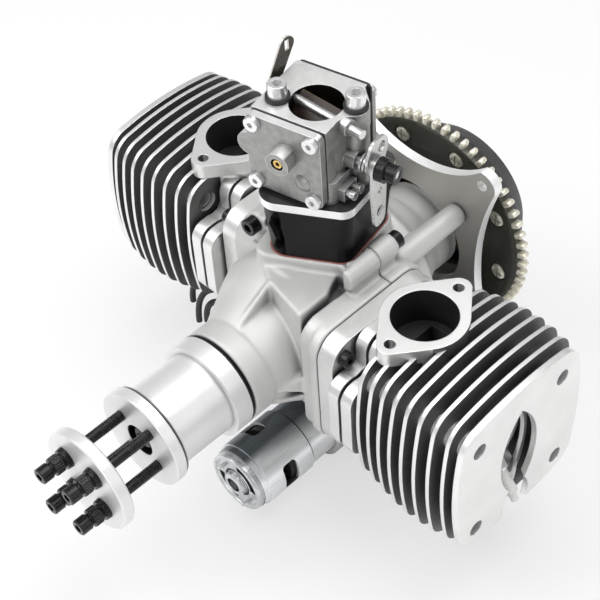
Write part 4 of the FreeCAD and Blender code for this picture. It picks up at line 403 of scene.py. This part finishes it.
def soft_plastic(name, colour, rough, bump=0.00003):
    """Even moulded or pressed stuff with a fine grain."""
    finish = Finish(name, colour, 0.0, rough)
    grain = finish.noise(0.0008, 3.0)
    finish.set("Base Color", finish.mix(grain.swing(), dimmed(colour, 0.75), colour))
    finish.set("Roughness", grain.swing(rough - 0.06, rough + 0.06))
    finish.relief(grain, bump, finish.rounded(0.0006), 0.35)
    return finish.material


def lever_bronze():
    """Dark bronze face with a bright stamped edge."""
    finish = Finish("lever_bronze", (0.06, 0.05, 0.04), 0.6, 0.4)
    edge = finish.facing()[0].size().below(0.6)
    cloud = finish.noise(0.003, 2.0)
    face = finish.mix(cloud.swing(), (0.045, 0.040, 0.034), (0.085, 0.078, 0.066))
    finish.set("Base Color", finish.mix(edge, face, (0.62, 0.59, 0.54)))
    finish.set("Roughness", cloud.swing(0.34, 0.46))
    finish.relief(cloud, 0.00001, finish.rounded(0.0002), 0.2)
    return finish.material


def from_starter_axis(x, z):
    """Distance from the starter's axis, squared."""
    aside = x - STARTER_AXIS[0]
    down = z - STARTER_AXIS[1]
    return aside * aside + down * down


def end_cap_steel():
    """Plated motor cap: bright face, with painted shade making it black in its air slots, round
    the shaft and round the foot of its boss.
    """
    finish = Finish("end_cap_steel", grey(0.70), 0.8, 0.3)
    x, y, z = finish.axes()
    reach = from_starter_axis(x, z) ** 0.5
    # painted shade: black in the air slots, the shaft hole and round the boss's foot
    slots = y.above(-0.1658) * reach.between(0.0102, 0.0148)
    shaft_hole_shade = reach.below(0.0046) * y.above(-0.1686)
    boss_foot_shade = reach.between(0.0077, 0.0095) * y.above(-0.1657)
    dark = (slots + shaft_hole_shade + boss_foot_shade).ramp(0.0, 1.0)
    cloud = finish.noise(0.004, 2.0)
    bright = finish.mix(cloud.swing(), (0.56, 0.58, 0.59), (0.68, 0.69, 0.70))
    finish.set("Base Color", finish.mix(dark, bright, grey(0.01)))
    finish.set("Metallic", 0.8 - dark * 0.8)
    finish.set("Roughness", cloud.swing(0.26, 0.36) + dark * 0.3)
    finish.relief(cloud, 0.00001, finish.rounded(0.0003), 0.2)
    return finish.material


def insulator_top():
    """Silver plate: bright cut edge, with painted shadow darkening its faces above and below."""
    finish = Finish("insulator_top", grey(0.8), 0.6, 0.4)
    # painted shadow: the flat faces are dark, as under the carburettor's shadow
    flat = finish.facing()[2].size().above(0.7)
    cloud = finish.noise(0.01, 2.0)
    dark = finish.mix(cloud.swing(), (0.05, 0.05, 0.052), (0.09, 0.09, 0.092))
    finish.set("Base Color", finish.mix(flat, grey(0.88), dark))
    finish.set("Roughness", flat.ramp(0, 1, 0.38, 0.32) + cloud.swing(-0.03, 0.03))
    finish.relief(finish.noise(0.0008, 3.0), 0.00002, finish.rounded(0.0005), 0.3)
    return finish.material


def gasket_fibre():
    """Red fibre under the intake, black sealed joints at the cylinders."""
    finish = Finish("gasket_fibre", (0.3, 0.06, 0.05), 0.0, 0.65)
    at_cylinders = finish.axes()[0].size().above(0.04)
    grain = finish.noise(0.0008, 3.0)
    red = finish.mix(grain.swing(), (0.28, 0.10, 0.09), (0.38, 0.15, 0.13))
    finish.set("Base Color", finish.mix(at_cylinders, red, grey(0.03)))
    finish.set("Roughness", grain.swing(0.58, 0.72))
    finish.relief(grain, 0.00003, None, 0.3)
    return finish.material


def brass_and_needles():
    """Brass hose nipple in front; the mixture needles low on the right are plated."""
    finish = Finish("brass_and_needles", (0.7, 0.5, 0.2), 0.92, 0.28)
    x, y, z = finish.axes()
    needles = x.above(0.006) * z.below(0.105)
    cloud = finish.noise(0.0015, 2.0)
    brass = finish.mix(cloud.swing(), (0.62, 0.42, 0.14), (0.76, 0.55, 0.22))
    plated = finish.mix(cloud.swing(), (0.62, 0.62, 0.61), (0.72, 0.72, 0.71))
    finish.set("Base Color", finish.mix(needles, brass, plated))
    finish.set("Roughness", cloud.swing(0.24, 0.32))
    finish.relief(cloud, 0.00001, finish.rounded(0.0003), 0.2)
    return finish.material


def choke_brass():
    """Dark faces and a bright brass edge on the plate, which stands at 45 degrees."""
    finish = Finish("choke_brass", (0.72, 0.5, 0.18), 0.9, 0.3)
    cloud = finish.noise(0.002, 2.0)
    nx, ny, nz = finish.facing()
    slant = math.sqrt(0.5)
    face = (ny * slant - nz * slant).size().above(0.8)
    dark = finish.mix(cloud.swing(), (0.012, 0.007, 0.005), (0.03, 0.018, 0.012))
    finish.set("Base Color", finish.mix(face, (0.95, 0.72, 0.28), dark))
    finish.set("Metallic", 0.9 - face * 0.7)
    finish.set("Roughness", cloud.swing(0.36, 0.46))
    finish.relief(cloud, 0.00001, None, 0.2)
    return finish.material


def motor_steel():
    """Drawn steel can: faint lines along the shaft; painted reflection, dark on top and bright
    below; painted shade, black inside and along the seam.
    """
    finish = Finish("motor_steel", (0.40, 0.42, 0.46), 0.95, 0.24)
    x, y, z = finish.axes()
    nx, ny, nz = finish.facing()
    inside = from_starter_axis(x, z).below(STARTER_BORE ** 2)
    lines = finish.noise(0.0009, 2.0, stretch=(1.0, 0.03, 1.0))
    # painted reflection: faces turned up are dark, faces turned down and outwards bright
    painted_reflection_side = (nx * 0.75 - nz * 0.66).ramp(-0.5, 0.15)
    steel = finish.mix(painted_reflection_side, (0.10, 0.115, 0.125), (0.97, 0.98, 0.99))
    # painted shade: black inside the can's bore and along the seam's step
    black = (inside + y.between(*STARTER_SEAM)).ramp(0.0, 1.0)
    finish.set("Base Color", finish.mix(black, steel, grey(0.012)))
    finish.set("Metallic", 0.6 - inside * 0.6)
    finish.set("Roughness", lines.swing(0.27, 0.33) + inside * 0.3)
    finish.relief(lines, 0.000004, finish.rounded(0.0004), 0.15)
    return finish.material


def copper_wire():
    """Dark varnished copper with the ridges of its turns, darkened further as painted shade for
    its place deep in the bracket's hole.
    """
    # painted shade: the copper's colour is darkened for its place in the bracket's hole
    finish = Finish("copper_wire", (0.10, 0.045, 0.02), 0.6, 0.4)
    wire = 0.0009
    turns = (finish.axes()[1] * (2 * math.pi / wire)).wave()
    finish.relief(turns, 0.0002, None, 0.6)
    return finish.material


FINISHES = {
    "cast_light": cast_aluminium(),
    "cylinder_alloy": cylinder_alloy(),
    "black_steel": black_oxide(),
    "bearing_steel": zinc("ground_steel", (0.55, 0.55, 0.56), 0.26),
    "black_rubber": soft_plastic("black_rubber", grey(0.016), 0.6),
    "red_gasket": gasket_fibre(),
    "plated_steel": zinc("plated_steel", (0.70, 0.70, 0.69), 0.3),
    "white_ceramic": soft_plastic("white_ceramic", (0.82, 0.82, 0.80), 0.15, 0.00001),
    "piston_alloy": turned_aluminium("piston_alloy", (0.62, 0.62, 0.63), 0.85),
    "ring_iron": zinc("ring_iron", grey(0.2), 0.4),
    "anodised_silver": turned_aluminium(),
    "bracket_grey": brushed_plate(),
    "pale_zinc": zinc("pale_zinc", (0.86, 0.83, 0.70), 0.3, metallic=0.6),
    "dark_olive": dark_satin("dark_olive", (0.052, 0.052, 0.040), 0.38),
    "satin_black": dark_satin("satin_black", (0.012, 0.012, 0.011), 0.55),
    "core_iron": dark_satin("core_iron", grey(0.03), 0.6),
    "copper_wire": copper_wire(),
    "motor_steel": motor_steel(),
    "bright_steel": zinc("bright_steel", grey(0.82), 0.3, metallic=0.8),
    "brass": brass_and_needles(),
    "dark_plastic": dark_satin("dark_plastic", grey(0.004), 0.34, 0.2),
    "carb_cast": carburettor_casting(),
    "lead_brown": soft_plastic("lead_brown", (0.012, 0.011, 0.014), 0.4),
}

# Nodes that look unlike the rest of their slot.
OWN_FINISH = {
    "choke_lever": lever_bronze(),
    "starter_end_cap": end_cap_steel(),
    "insulator_plate": insulator_top(),
    "choke_plate": choke_brass(),
}


def dress_nodes():
    """Gives each node of the part its finish by the record's slot, and soft shading."""
    slots = {entry["node"]: entry["material_slot"] for entry in frame["record"]["subparts"]}
    for name, node in frame["nodes"].items():
        for slot in node.material_slots:
            slot.material = OWN_FINISH.get(name) or FINISHES[slots[name]]
        bpy.ops.object.select_all(action="DESELECT")
        bpy.context.view_layer.objects.active = node
        node.select_set(True)
        bpy.ops.object.shade_smooth_by_angle(angle=math.radians(NODE_ANGLE))
        node.select_set(False)


def begin_edit(piece):
    """Makes a piece the only selected and active one, at the origin, and opens it for editing."""
    bpy.ops.object.select_all(action="DESELECT")
    piece.select_set(True)
    bpy.context.view_layer.objects.active = piece
    bpy.ops.object.transform_apply(location=True, rotation=True, scale=True)
    bpy.ops.object.mode_set(mode="EDIT")
    bpy.ops.mesh.select_all(action="SELECT")


def end_edit(piece, name, angle=35):
    """Closes the edit: normals outwards, soft shading, its own name."""
    bpy.ops.mesh.select_all(action="SELECT")
    bpy.ops.mesh.remove_doubles(threshold=0.000002)
    bpy.ops.mesh.normals_make_consistent(inside=False)
    bpy.ops.object.mode_set(mode="OBJECT")
    bpy.ops.object.shade_smooth_by_angle(angle=math.radians(angle))
    renamed(piece, name)
    piece.select_set(False)
    return piece


def renamed(piece, name):
    piece.name = name
    piece.data.name = name
    return piece


def turned_piece(name, centre, profile, segments=32, angle=35):
    """Lathe work about a line along Y through centre (x, z); profile is (y, radius) in mm."""
    x, z = centre
    y, radius = profile[0]
    bpy.ops.mesh.primitive_circle_add(vertices=segments, radius=radius * MM, fill_type="NGON",
                                      location=(x, y * MM, z), rotation=(math.pi / 2, 0, 0))
    piece = bpy.context.object
    begin_edit(piece)
    for next_y, next_radius in profile[1:]:
        step = (0, (next_y - y) * MM, 0)
        bpy.ops.mesh.extrude_region_move(TRANSFORM_OT_translate={"value": step})
        ratio = next_radius / radius
        bpy.ops.transform.resize(value=(ratio, 1, ratio), center_override=(x, next_y * MM, z))
        y, radius = next_y, next_radius
    return end_edit(piece, name, angle)


def spun_ring(name, centre, inner, outer, front, back, steps, soften=0.3, angle=math.tau):
    """Ring or arc of rectangular section about a line along Y, in mm, its corners taken off."""
    x, z = centre
    middle = (inner + outer) / 2
    place = (x + middle * MM, (front + back) / 2 * MM, z)
    bpy.ops.mesh.primitive_plane_add(size=MM, location=place)
    piece = bpy.context.object
    piece.scale = (outer - inner, back - front, 1)
    begin_edit(piece)
    if soften:
        bpy.ops.mesh.bevel(offset=soften * MM, segments=2, affect="VERTICES")
    if angle >= math.tau:
        bpy.ops.mesh.delete(type="ONLY_FACE")
        bpy.ops.mesh.select_all(action="SELECT")
    bpy.ops.mesh.spin(steps=steps, angle=angle, center=(x, 0, z), axis=(0, 1, 0))
    return end_edit(piece, name)


def turn_about(centre, angle):
    """Turn about a line along Y through centre (x, z)."""
    x, z = centre
    turn = Matrix.Rotation(angle, 4, "Y")
    return Matrix.Translation((x, 0, z)) @ turn @ Matrix.Translation((-x, 0, -z))


def copied(piece, name, matrix):
    """Copy with its own mesh, moved by a matrix that is applied."""
    twin = piece.copy()
    twin.data = piece.data.copy()
    twin.data.transform(matrix)
    bpy.context.scene.collection.objects.link(twin)
    return renamed(twin, name)


def merged_copy(node_name, name):
    """Copy of a node with its loose triangles merged, open for editing."""
    piece = copied(frame["nodes"][node_name], name, Matrix())
    begin_edit(piece)
    bpy.ops.mesh.customdata_custom_splitnormals_clear()
    bpy.ops.mesh.remove_doubles(threshold=0.00001)
    return piece


def joined(pieces, name):
    """One piece of several."""
    bpy.ops.object.select_all(action="DESELECT")
    for piece in pieces:
        piece.select_set(True)
    bpy.context.view_layer.objects.active = pieces[0]
    bpy.ops.object.join()
    whole = renamed(bpy.context.object, name)
    whole.select_set(False)
    return whole


def cut_with(piece, tool):
    """Takes the tool's shape out of the piece and removes the tool."""
    cut = piece.modifiers.new("cut", "BOOLEAN")
    cut.operation = "DIFFERENCE"
    cut.solver = "EXACT"
    cut.object = tool
    bpy.context.view_layer.objects.active = piece
    bpy.ops.object.modifier_apply(modifier=cut.name)
    bpy.data.objects.remove(tool)


def hex_socket(screw, radius, y):
    """Sinks a hex socket 4 mm deep into the screw's end at y; sizes in mm."""
    bpy.ops.mesh.primitive_cylinder_add(vertices=6, radius=radius * MM, depth=8 * MM,
                                        location=(0, y * MM, 0), rotation=(math.pi / 2, 0, 0))
    cut_with(screw, bpy.context.object)


def knurl_ring(piece, front, back, radius):
    """Presses every second 15 degrees of a collar inwards, for a coarse knurl; sizes in mm."""
    begin_edit(piece)
    bpy.ops.mesh.select_all(action="DESELECT")
    bpy.ops.object.mode_set(mode="OBJECT")
    for face in piece.data.polygons:
        middle = face.center
        on_collar = front * MM < middle.y < back * MM
        around = math.hypot(middle.x, middle.z) > (radius - 0.4) * MM
        sector = int((math.degrees(math.atan2(middle.z, middle.x)) % 360) // 15)
        face.select = on_collar and around and sector % 2 == 0
    bpy.ops.object.mode_set(mode="EDIT")
    bpy.ops.mesh.inset(thickness=0.2 * MM, depth=-0.35 * MM, use_individual=True)
    end_edit(piece, piece.name, 28)


def finished(piece, slot, body, node, own_finish=None):
    """Finish and body of a new piece, and the node that it stands for."""
    piece.data.materials.clear()
    piece.data.materials.append(own_finish or FINISHES[slot])
    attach(piece, body)
    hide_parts(node)


def propeller_screws():
    """Four long black screws with knurled collars through the washer, and the hub's own screw."""
    hub = HUB_FRONT / MM
    socket_end, knurl_front, knurl_back, knurl_radius = -17.6, -9.1, -4.6, 5.2
    head = [(socket_end, 3.9), (-17.2, 4.5), (-11.4, 4.5), (-11.0, 4.1), (-10.6, 3.4),
            (-9.6, 3.4), (-9.5, 4.9), (knurl_front, knurl_radius), (knurl_back, knurl_radius),
            (-4.2, 4.8), (-4.1, 4.0), (-3.0, 4.0), (-2.9, 5.7), (-1.7, 5.9), (-1.6, 5.3),
            (-1.1, 5.3), (-1.0, 6.0), (0.0, 6.0), (0.1, 3.0)]
    profile = [(WASHER_FRONT + y, radius) for y, radius in head]
    pitch = 1.25
    y = hub - 15.0
    profile.append((y, 3.0))
    while y < hub + 0.5:
        profile += [(y + 0.3, 3.15), (y + 0.65, 2.7), (y + 1.0, 2.7), (y + pitch, 3.15)]
        y += pitch
    profile.append((hub + 16.0, 3.0))
    bolt = turned_piece("propeller_screw", (0.0, 0.0), profile, 24, 28)
    knurl_ring(bolt, WASHER_FRONT + knurl_front, WASHER_FRONT + knurl_back, knurl_radius)
    hex_socket(bolt, 2.55, WASHER_FRONT + socket_end)
    circle = 16.0 * MM
    for i in range(4):
        turn = math.radians(8.0 + 45.0 + 90.0 * i)
        shift = Matrix.Translation((circle * math.cos(turn), 0, circle * math.sin(turn)))
        screw = copied(bolt, "propeller_screw_" + str(i + 1), shift)
        finished(screw, "black_steel", "crank", "propeller_bolts")
    bpy.data.objects.remove(bolt)

    profile = [(hub + 1.4, 5.4), (hub + 1.9, 6.3), (hub + 9.0, 6.5), (hub + 9.1, 4.2),
               (hub + 24.0, 4.2)]
    centre = turned_piece("hub_centre_screw", (0.0, 0.0), profile)
    hex_socket(centre, 3.5, hub + 1.4)
    finished(centre, "black_steel", "crank", "propeller_bolts")


def starter_ring():
    """Dark ring with sixty pale, bead-like teeth round it."""
    front, back = RING_FRONT / MM, RING_FRONT / MM + 6.0
    ring = spun_ring("starter_ring_band", (0.0, 0.0), 59.25, 63.6, front, back, 120, 0.4)
    finished(ring, "dark_olive", "crank", "ring_gear")

    count = 60
    place = (65.3 * MM, (front + back) / 2 * MM, 0)
    bpy.ops.mesh.primitive_cube_add(size=MM, location=place)
    tooth = bpy.context.object
    tooth.scale = (5.6, 6.0, 3.9)
    begin_edit(tooth)
    bpy.ops.mesh.select_all(action="DESELECT")
    bpy.ops.object.mode_set(mode="OBJECT")
    for face in tooth.data.polygons:
        face.select = face.normal.x > 0.9
    bpy.ops.object.mode_set(mode="EDIT")
    bpy.ops.transform.resize(value=(1, 0.9, 0.74))
    bpy.ops.mesh.select_all(action="SELECT")
    bpy.ops.mesh.bevel(offset=1.15 * MM, segments=3, affect="EDGES")
    end_edit(tooth, "ring_tooth", 60)
    first = math.atan2(STARTER_AXIS[1], STARTER_AXIS[0]) + math.pi / count
    teeth = []
    for i in range(count):
        turn = Matrix.Rotation(-(first + i * math.tau / count), 4, "Y")
        teeth.append(copied(tooth, "ring_tooth_" + str(i + 1), turn))
    bpy.data.objects.remove(tooth)
    finished(joined(teeth, "starter_ring_teeth"), "pale_zinc", "crank", "ring_gear")


def starter_cap():
    """Motor end cap with a raised rim, a domed boss round the shaft, two air slots, two tags."""
    profile = [(-167.2, 4.3), (-168.9, 4.6), (-169.4, 5.2), (-169.2, 6.4), (-168.5, 7.3),
               (-167.3, 7.7), (-166.0, 7.8), (-165.4, 8.3), (-165.4, 9.0), (-166.0, 9.6),
               (-166.0, 15.7), (-166.3, 16.1), (-166.9, 16.4), (-167.0, 16.8), (-167.0, 17.6),
               (-166.7, 18.3), (-166.0, 18.7), (-164.6, 18.75), (-164.4, 18.2), (-163.6, 18.2),
               (-163.4, 18.75), (-162.5, 18.75)]
    cap = turned_piece("starter_cap", STARTER_AXIS, profile, 72, 32)
    arc = math.radians(84)
    for middle in (math.radians(45), math.radians(225)):
        slot = spun_ring("air_slot", STARTER_AXIS, 10.4, 14.8, -170.0, -164.0, 20, 0, arc)
        slot.data.transform(turn_about(STARTER_AXIS, arc / 2 - middle))
        cut_with(cap, slot)
    own_finish = OWN_FINISH["starter_end_cap"]
    finished(cap, "bright_steel", "engine", "starter_end_cap", own_finish)

    x, z = STARTER_AXIS
    bpy.ops.mesh.primitive_cube_add(size=MM, location=(x, -168.2 * MM, z + 12.6 * MM))
    tag = bpy.context.object
    tag.scale = (4.4, 5.0, 1.6)
    begin_edit(tag)
    bpy.ops.mesh.bevel(offset=0.45 * MM, segments=2, affect="EDGES")
    end_edit(tag, "starter_tag", 40)
    for i, middle in enumerate((135, 315)):
        turn = turn_about(STARTER_AXIS, math.radians(90 - middle))
        twin = copied(tag, "starter_tag_" + str(i + 1), turn)
        finished(twin, "plated_steel", "engine", "starter_terminals")
    bpy.data.objects.remove(tag)


def softened_case(name):
    """Casting with its sharp edges melted down, made from a merged copy of the node's mesh."""
    piece = copied(frame["nodes"][name], name + "_cast", Matrix())
    begin_edit(piece)
    bpy.ops.mesh.remove_doubles(threshold=0.00001)
    bpy.ops.object.mode_set(mode="OBJECT")
    melt = piece.modifiers.new("melt", "REMESH")
    melt.mode = "VOXEL"
    melt.voxel_size = CAST_VOXEL
    melt.use_smooth_shade = True
    bpy.ops.object.modifier_apply(modifier=melt.name)
    soft = piece.modifiers.new("soft", "SMOOTH")
    soft.factor = 0.5
    soft.iterations = 4
    bpy.ops.object.modifier_apply(modifier=soft.name)
    triangles = len(piece.data.polygons) * 2
    if triangles > CAST_TRIANGLES:
        thin = piece.modifiers.new("thin", "DECIMATE")
        thin.ratio = CAST_TRIANGLES / triangles
        bpy.ops.object.modifier_apply(modifier=thin.name)
    bpy.ops.object.shade_smooth()
    piece.select_set(False)
    finished(piece, "cast_light", "engine", name)


def drawn_in(name, slot, low_z, high_z):
    """Copy of a node at the skewed intake, its left side made nearly square to the front one.

    The change is a shear, so the points are moved by their place. u runs along the intake's front
    side, v across it towards the back, both from the throat.
    """
    turn = math.radians(30.6)
    skew = math.radians(71.4)
    left_end = -0.0146
    screw_u, screw_clear = -0.0199, 0.0045
    piece = merged_copy(name, name + "_short")
    bpy.ops.object.mode_set(mode="OBJECT")
    for vertex in piece.data.vertices:
        aside = vertex.co.x - THROAT[0]
        along = vertex.co.y - THROAT[1]
        u = aside * math.cos(turn) + along * math.sin(turn)
        v = along * math.cos(turn) - aside * math.sin(turn)
        near = math.hypot(u, v) < 0.045 and low_z < vertex.co.z < high_z
        at_screw = math.hypot(u - screw_u, v) < screw_clear
        if near and not at_screw and u - v / math.tan(skew) < left_end:
            step = 0.0026 - v * 0.235
            vertex.co.x += step * math.cos(turn)
            vertex.co.y += step * math.sin(turn)
    bpy.ops.object.mode_set(mode="EDIT")
    end_edit(piece, piece.name, NODE_ANGLE)
    finished(piece, slot, "engine", name, OWN_FINISH.get(name))


def choke_lever():
    """Copy of the lever with its inner face set back, clear of the carburettor at both stops."""
    inner = -0.0299
    piece = merged_copy("choke_lever", "choke_lever_plate")
    bpy.ops.mesh.select_mode(type="VERT")
    bpy.ops.mesh.select_all(action="DESELECT")
    bpy.ops.object.mode_set(mode="OBJECT")
    for vertex in piece.data.vertices:
        vertex.select = vertex.co.x > inner
    bpy.ops.object.mode_set(mode="EDIT")
    bpy.ops.transform.resize(value=(0, 1, 1), center_override=(inner, 0, 0))
    end_edit(piece, piece.name, NODE_ANGLE)
    finished(piece, "black_steel", "choke", "choke_lever", OWN_FINISH["choke_lever"])


def generator_leads():
    """Three dark leads from the grommet under the case, run to the left and hanging free."""
    start_x, first_y, spacing = -38.0, 42.0, 9.0
    pad_z = -41.3
    # x and y of the last corner, height of the level run, height of the free end
    ends = [(-112.0, -10.0, -56.0, -77.0), (-103.3, -14.0, -56.0, -86.0),
            (-95.3, -14.0, -62.0, -80.0)]
    for i, (end_x, end_y, run_z, end_z) in enumerate(ends):
        number = str(i + 1)
        y = first_y - i * spacing
        back_x, back_y = start_x - end_x, y - end_y
        share = (run_z - end_z) / math.hypot(back_x, back_y)
        near_corner = (end_x + share * back_x, end_y + share * back_y, run_z)
        route = [(start_x, y, pad_z), (start_x, y, run_z), near_corner, (end_x, end_y, run_z),
                 (end_x, end_y, end_z)]
        points = [(px * MM, py * MM - SHAFT_REAR, pz * MM) for px, py, pz in route]
        curve = bpy.data.curves.new("lead_line_" + number, "CURVE")
        curve.dimensions = "3D"
        curve.resolution_u = 16
        spline = curve.splines.new("NURBS")
        spline.points.add(len(points) - 1)
        for point, place in zip(spline.points, points):
            point.co = (*place, 1.0)
        spline.order_u = 3
        spline.use_endpoint_u = True
        curve.bevel_depth = LEAD_DIAMETER / 2
        curve.bevel_resolution = 4
        curve.use_fill_caps = True
        lead = bpy.data.objects.new("lead_line_" + number, curve)
        bpy.context.scene.collection.objects.link(lead)
        curve.materials.append(FINISHES["lead_brown"])
        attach(lead, "engine")
        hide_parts("generator_lead_" + number)


def studio_floor():
    """Pale floor a little under the engine, lifted to white where the camera sees it."""
    bpy.ops.mesh.primitive_plane_add(size=6.0, location=(0, 0, cad_low[2] - 0.002))
    floor = bpy.context.object
    floor.name = "studio_floor"
    pale = Finish("floor_pale", grey(0.92), 0.0, 0.9)
    seen = pale.add("ShaderNodeLightPath", output="Is Camera Ray")
    white = {"Color": (1, 1, 1, 1), "Strength": 0.9}
    glow = pale.add("ShaderNodeEmission", inputs=white)
    surface = Socket(pale, pale.shader.outputs[0])
    mixed = pale.add("ShaderNodeMixShader", inputs={0: seen * 0.65, 1: surface, 2: glow})
    pale.plug(pale.tree.nodes["Material Output"].inputs["Surface"], mixed)
    floor.data.materials.append(pale.material)


def studio_lamps():
    """Four soft lamps, as name, place, size and power, all turned to the engine."""
    target = Vector((0, -0.08, 0))
    lamps = [
        ("key", (-0.55, -0.75, 1.05), 0.9, 10.5),
        ("side", (1.15, 0.15, 0.55), 0.8, 2.6),
        ("front", (0.35, -1.35, 0.35), 0.7, 3.2),
        ("top", (0.1, 0.2, 1.4), 1.1, 15.0),
    ]
    for name, spot, size, power in lamps:
        data = bpy.data.lights.new(name, "AREA")
        data.size = size
        data.energy = power
        lamp = bpy.data.objects.new(name, data)
        lamp.location = spot
        lamp.rotation_euler = (target - Vector(spot)).to_track_quat("-Z", "Y").to_euler()
        bpy.context.scene.collection.objects.link(lamp)


def studio_world():
    """Plain grey light all round, white where the camera sees it."""
    world = bpy.data.worlds.new("studio_world")
    world.use_nodes = True
    bpy.context.scene.world = world
    tree = world.node_tree
    path = tree.nodes.new("ShaderNodeLightPath")
    mix = tree.nodes.new("ShaderNodeMix")
    mix.data_type = "RGBA"
    mix.inputs[6].default_value = (0.38, 0.38, 0.385, 1)
    mix.inputs[7].default_value = (1, 1, 1, 1)
    tree.links.new(path.outputs["Is Camera Ray"], mix.inputs[0])
    tree.links.new(mix.outputs[2], tree.nodes["Background"].inputs["Color"])


def photo_camera():
    """Camera solved from the photograph: its right and up directions, place and lens."""
    right = Vector((0.71048, 0.70185, -0.05113))
    up = Vector((-0.48476, 0.54079, 0.68743))
    place = Matrix.Translation((0.437426, -0.495156, 0.633026))
    data = bpy.data.cameras.new("photo_camera")
    data.lens = 94.68
    data.sensor_width = 36.0
    data.clip_start = 0.01
    camera = bpy.data.objects.new("photo_camera", data)
    camera.matrix_world = place @ Matrix((right, up, right.cross(up))).transposed().to_4x4()
    bpy.context.scene.collection.objects.link(camera)
    bpy.context.scene.camera = camera


dress_nodes()
generator_leads()
propeller_screws()
starter_ring()
starter_cap()
choke_lever()
block_low, block_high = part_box("insulator_block")
drawn_in("insulator_block", "dark_plastic", block_low[2] - 0.001, block_high[2] + 0.001)
drawn_in("insulator_plate", "bright_steel", block_high[2] - 0.001, block_high[2] + 0.02)
drawn_in("case_gaskets", "red_gasket", block_low[2] - 0.003, block_low[2] + 0.001)
softened_case("crankcase_front")
softened_case("crankcase_rear")
studio_floor()
studio_lamps()
studio_world()
photo_camera()
bpy.context.scene.view_settings.view_transform = "Standard"
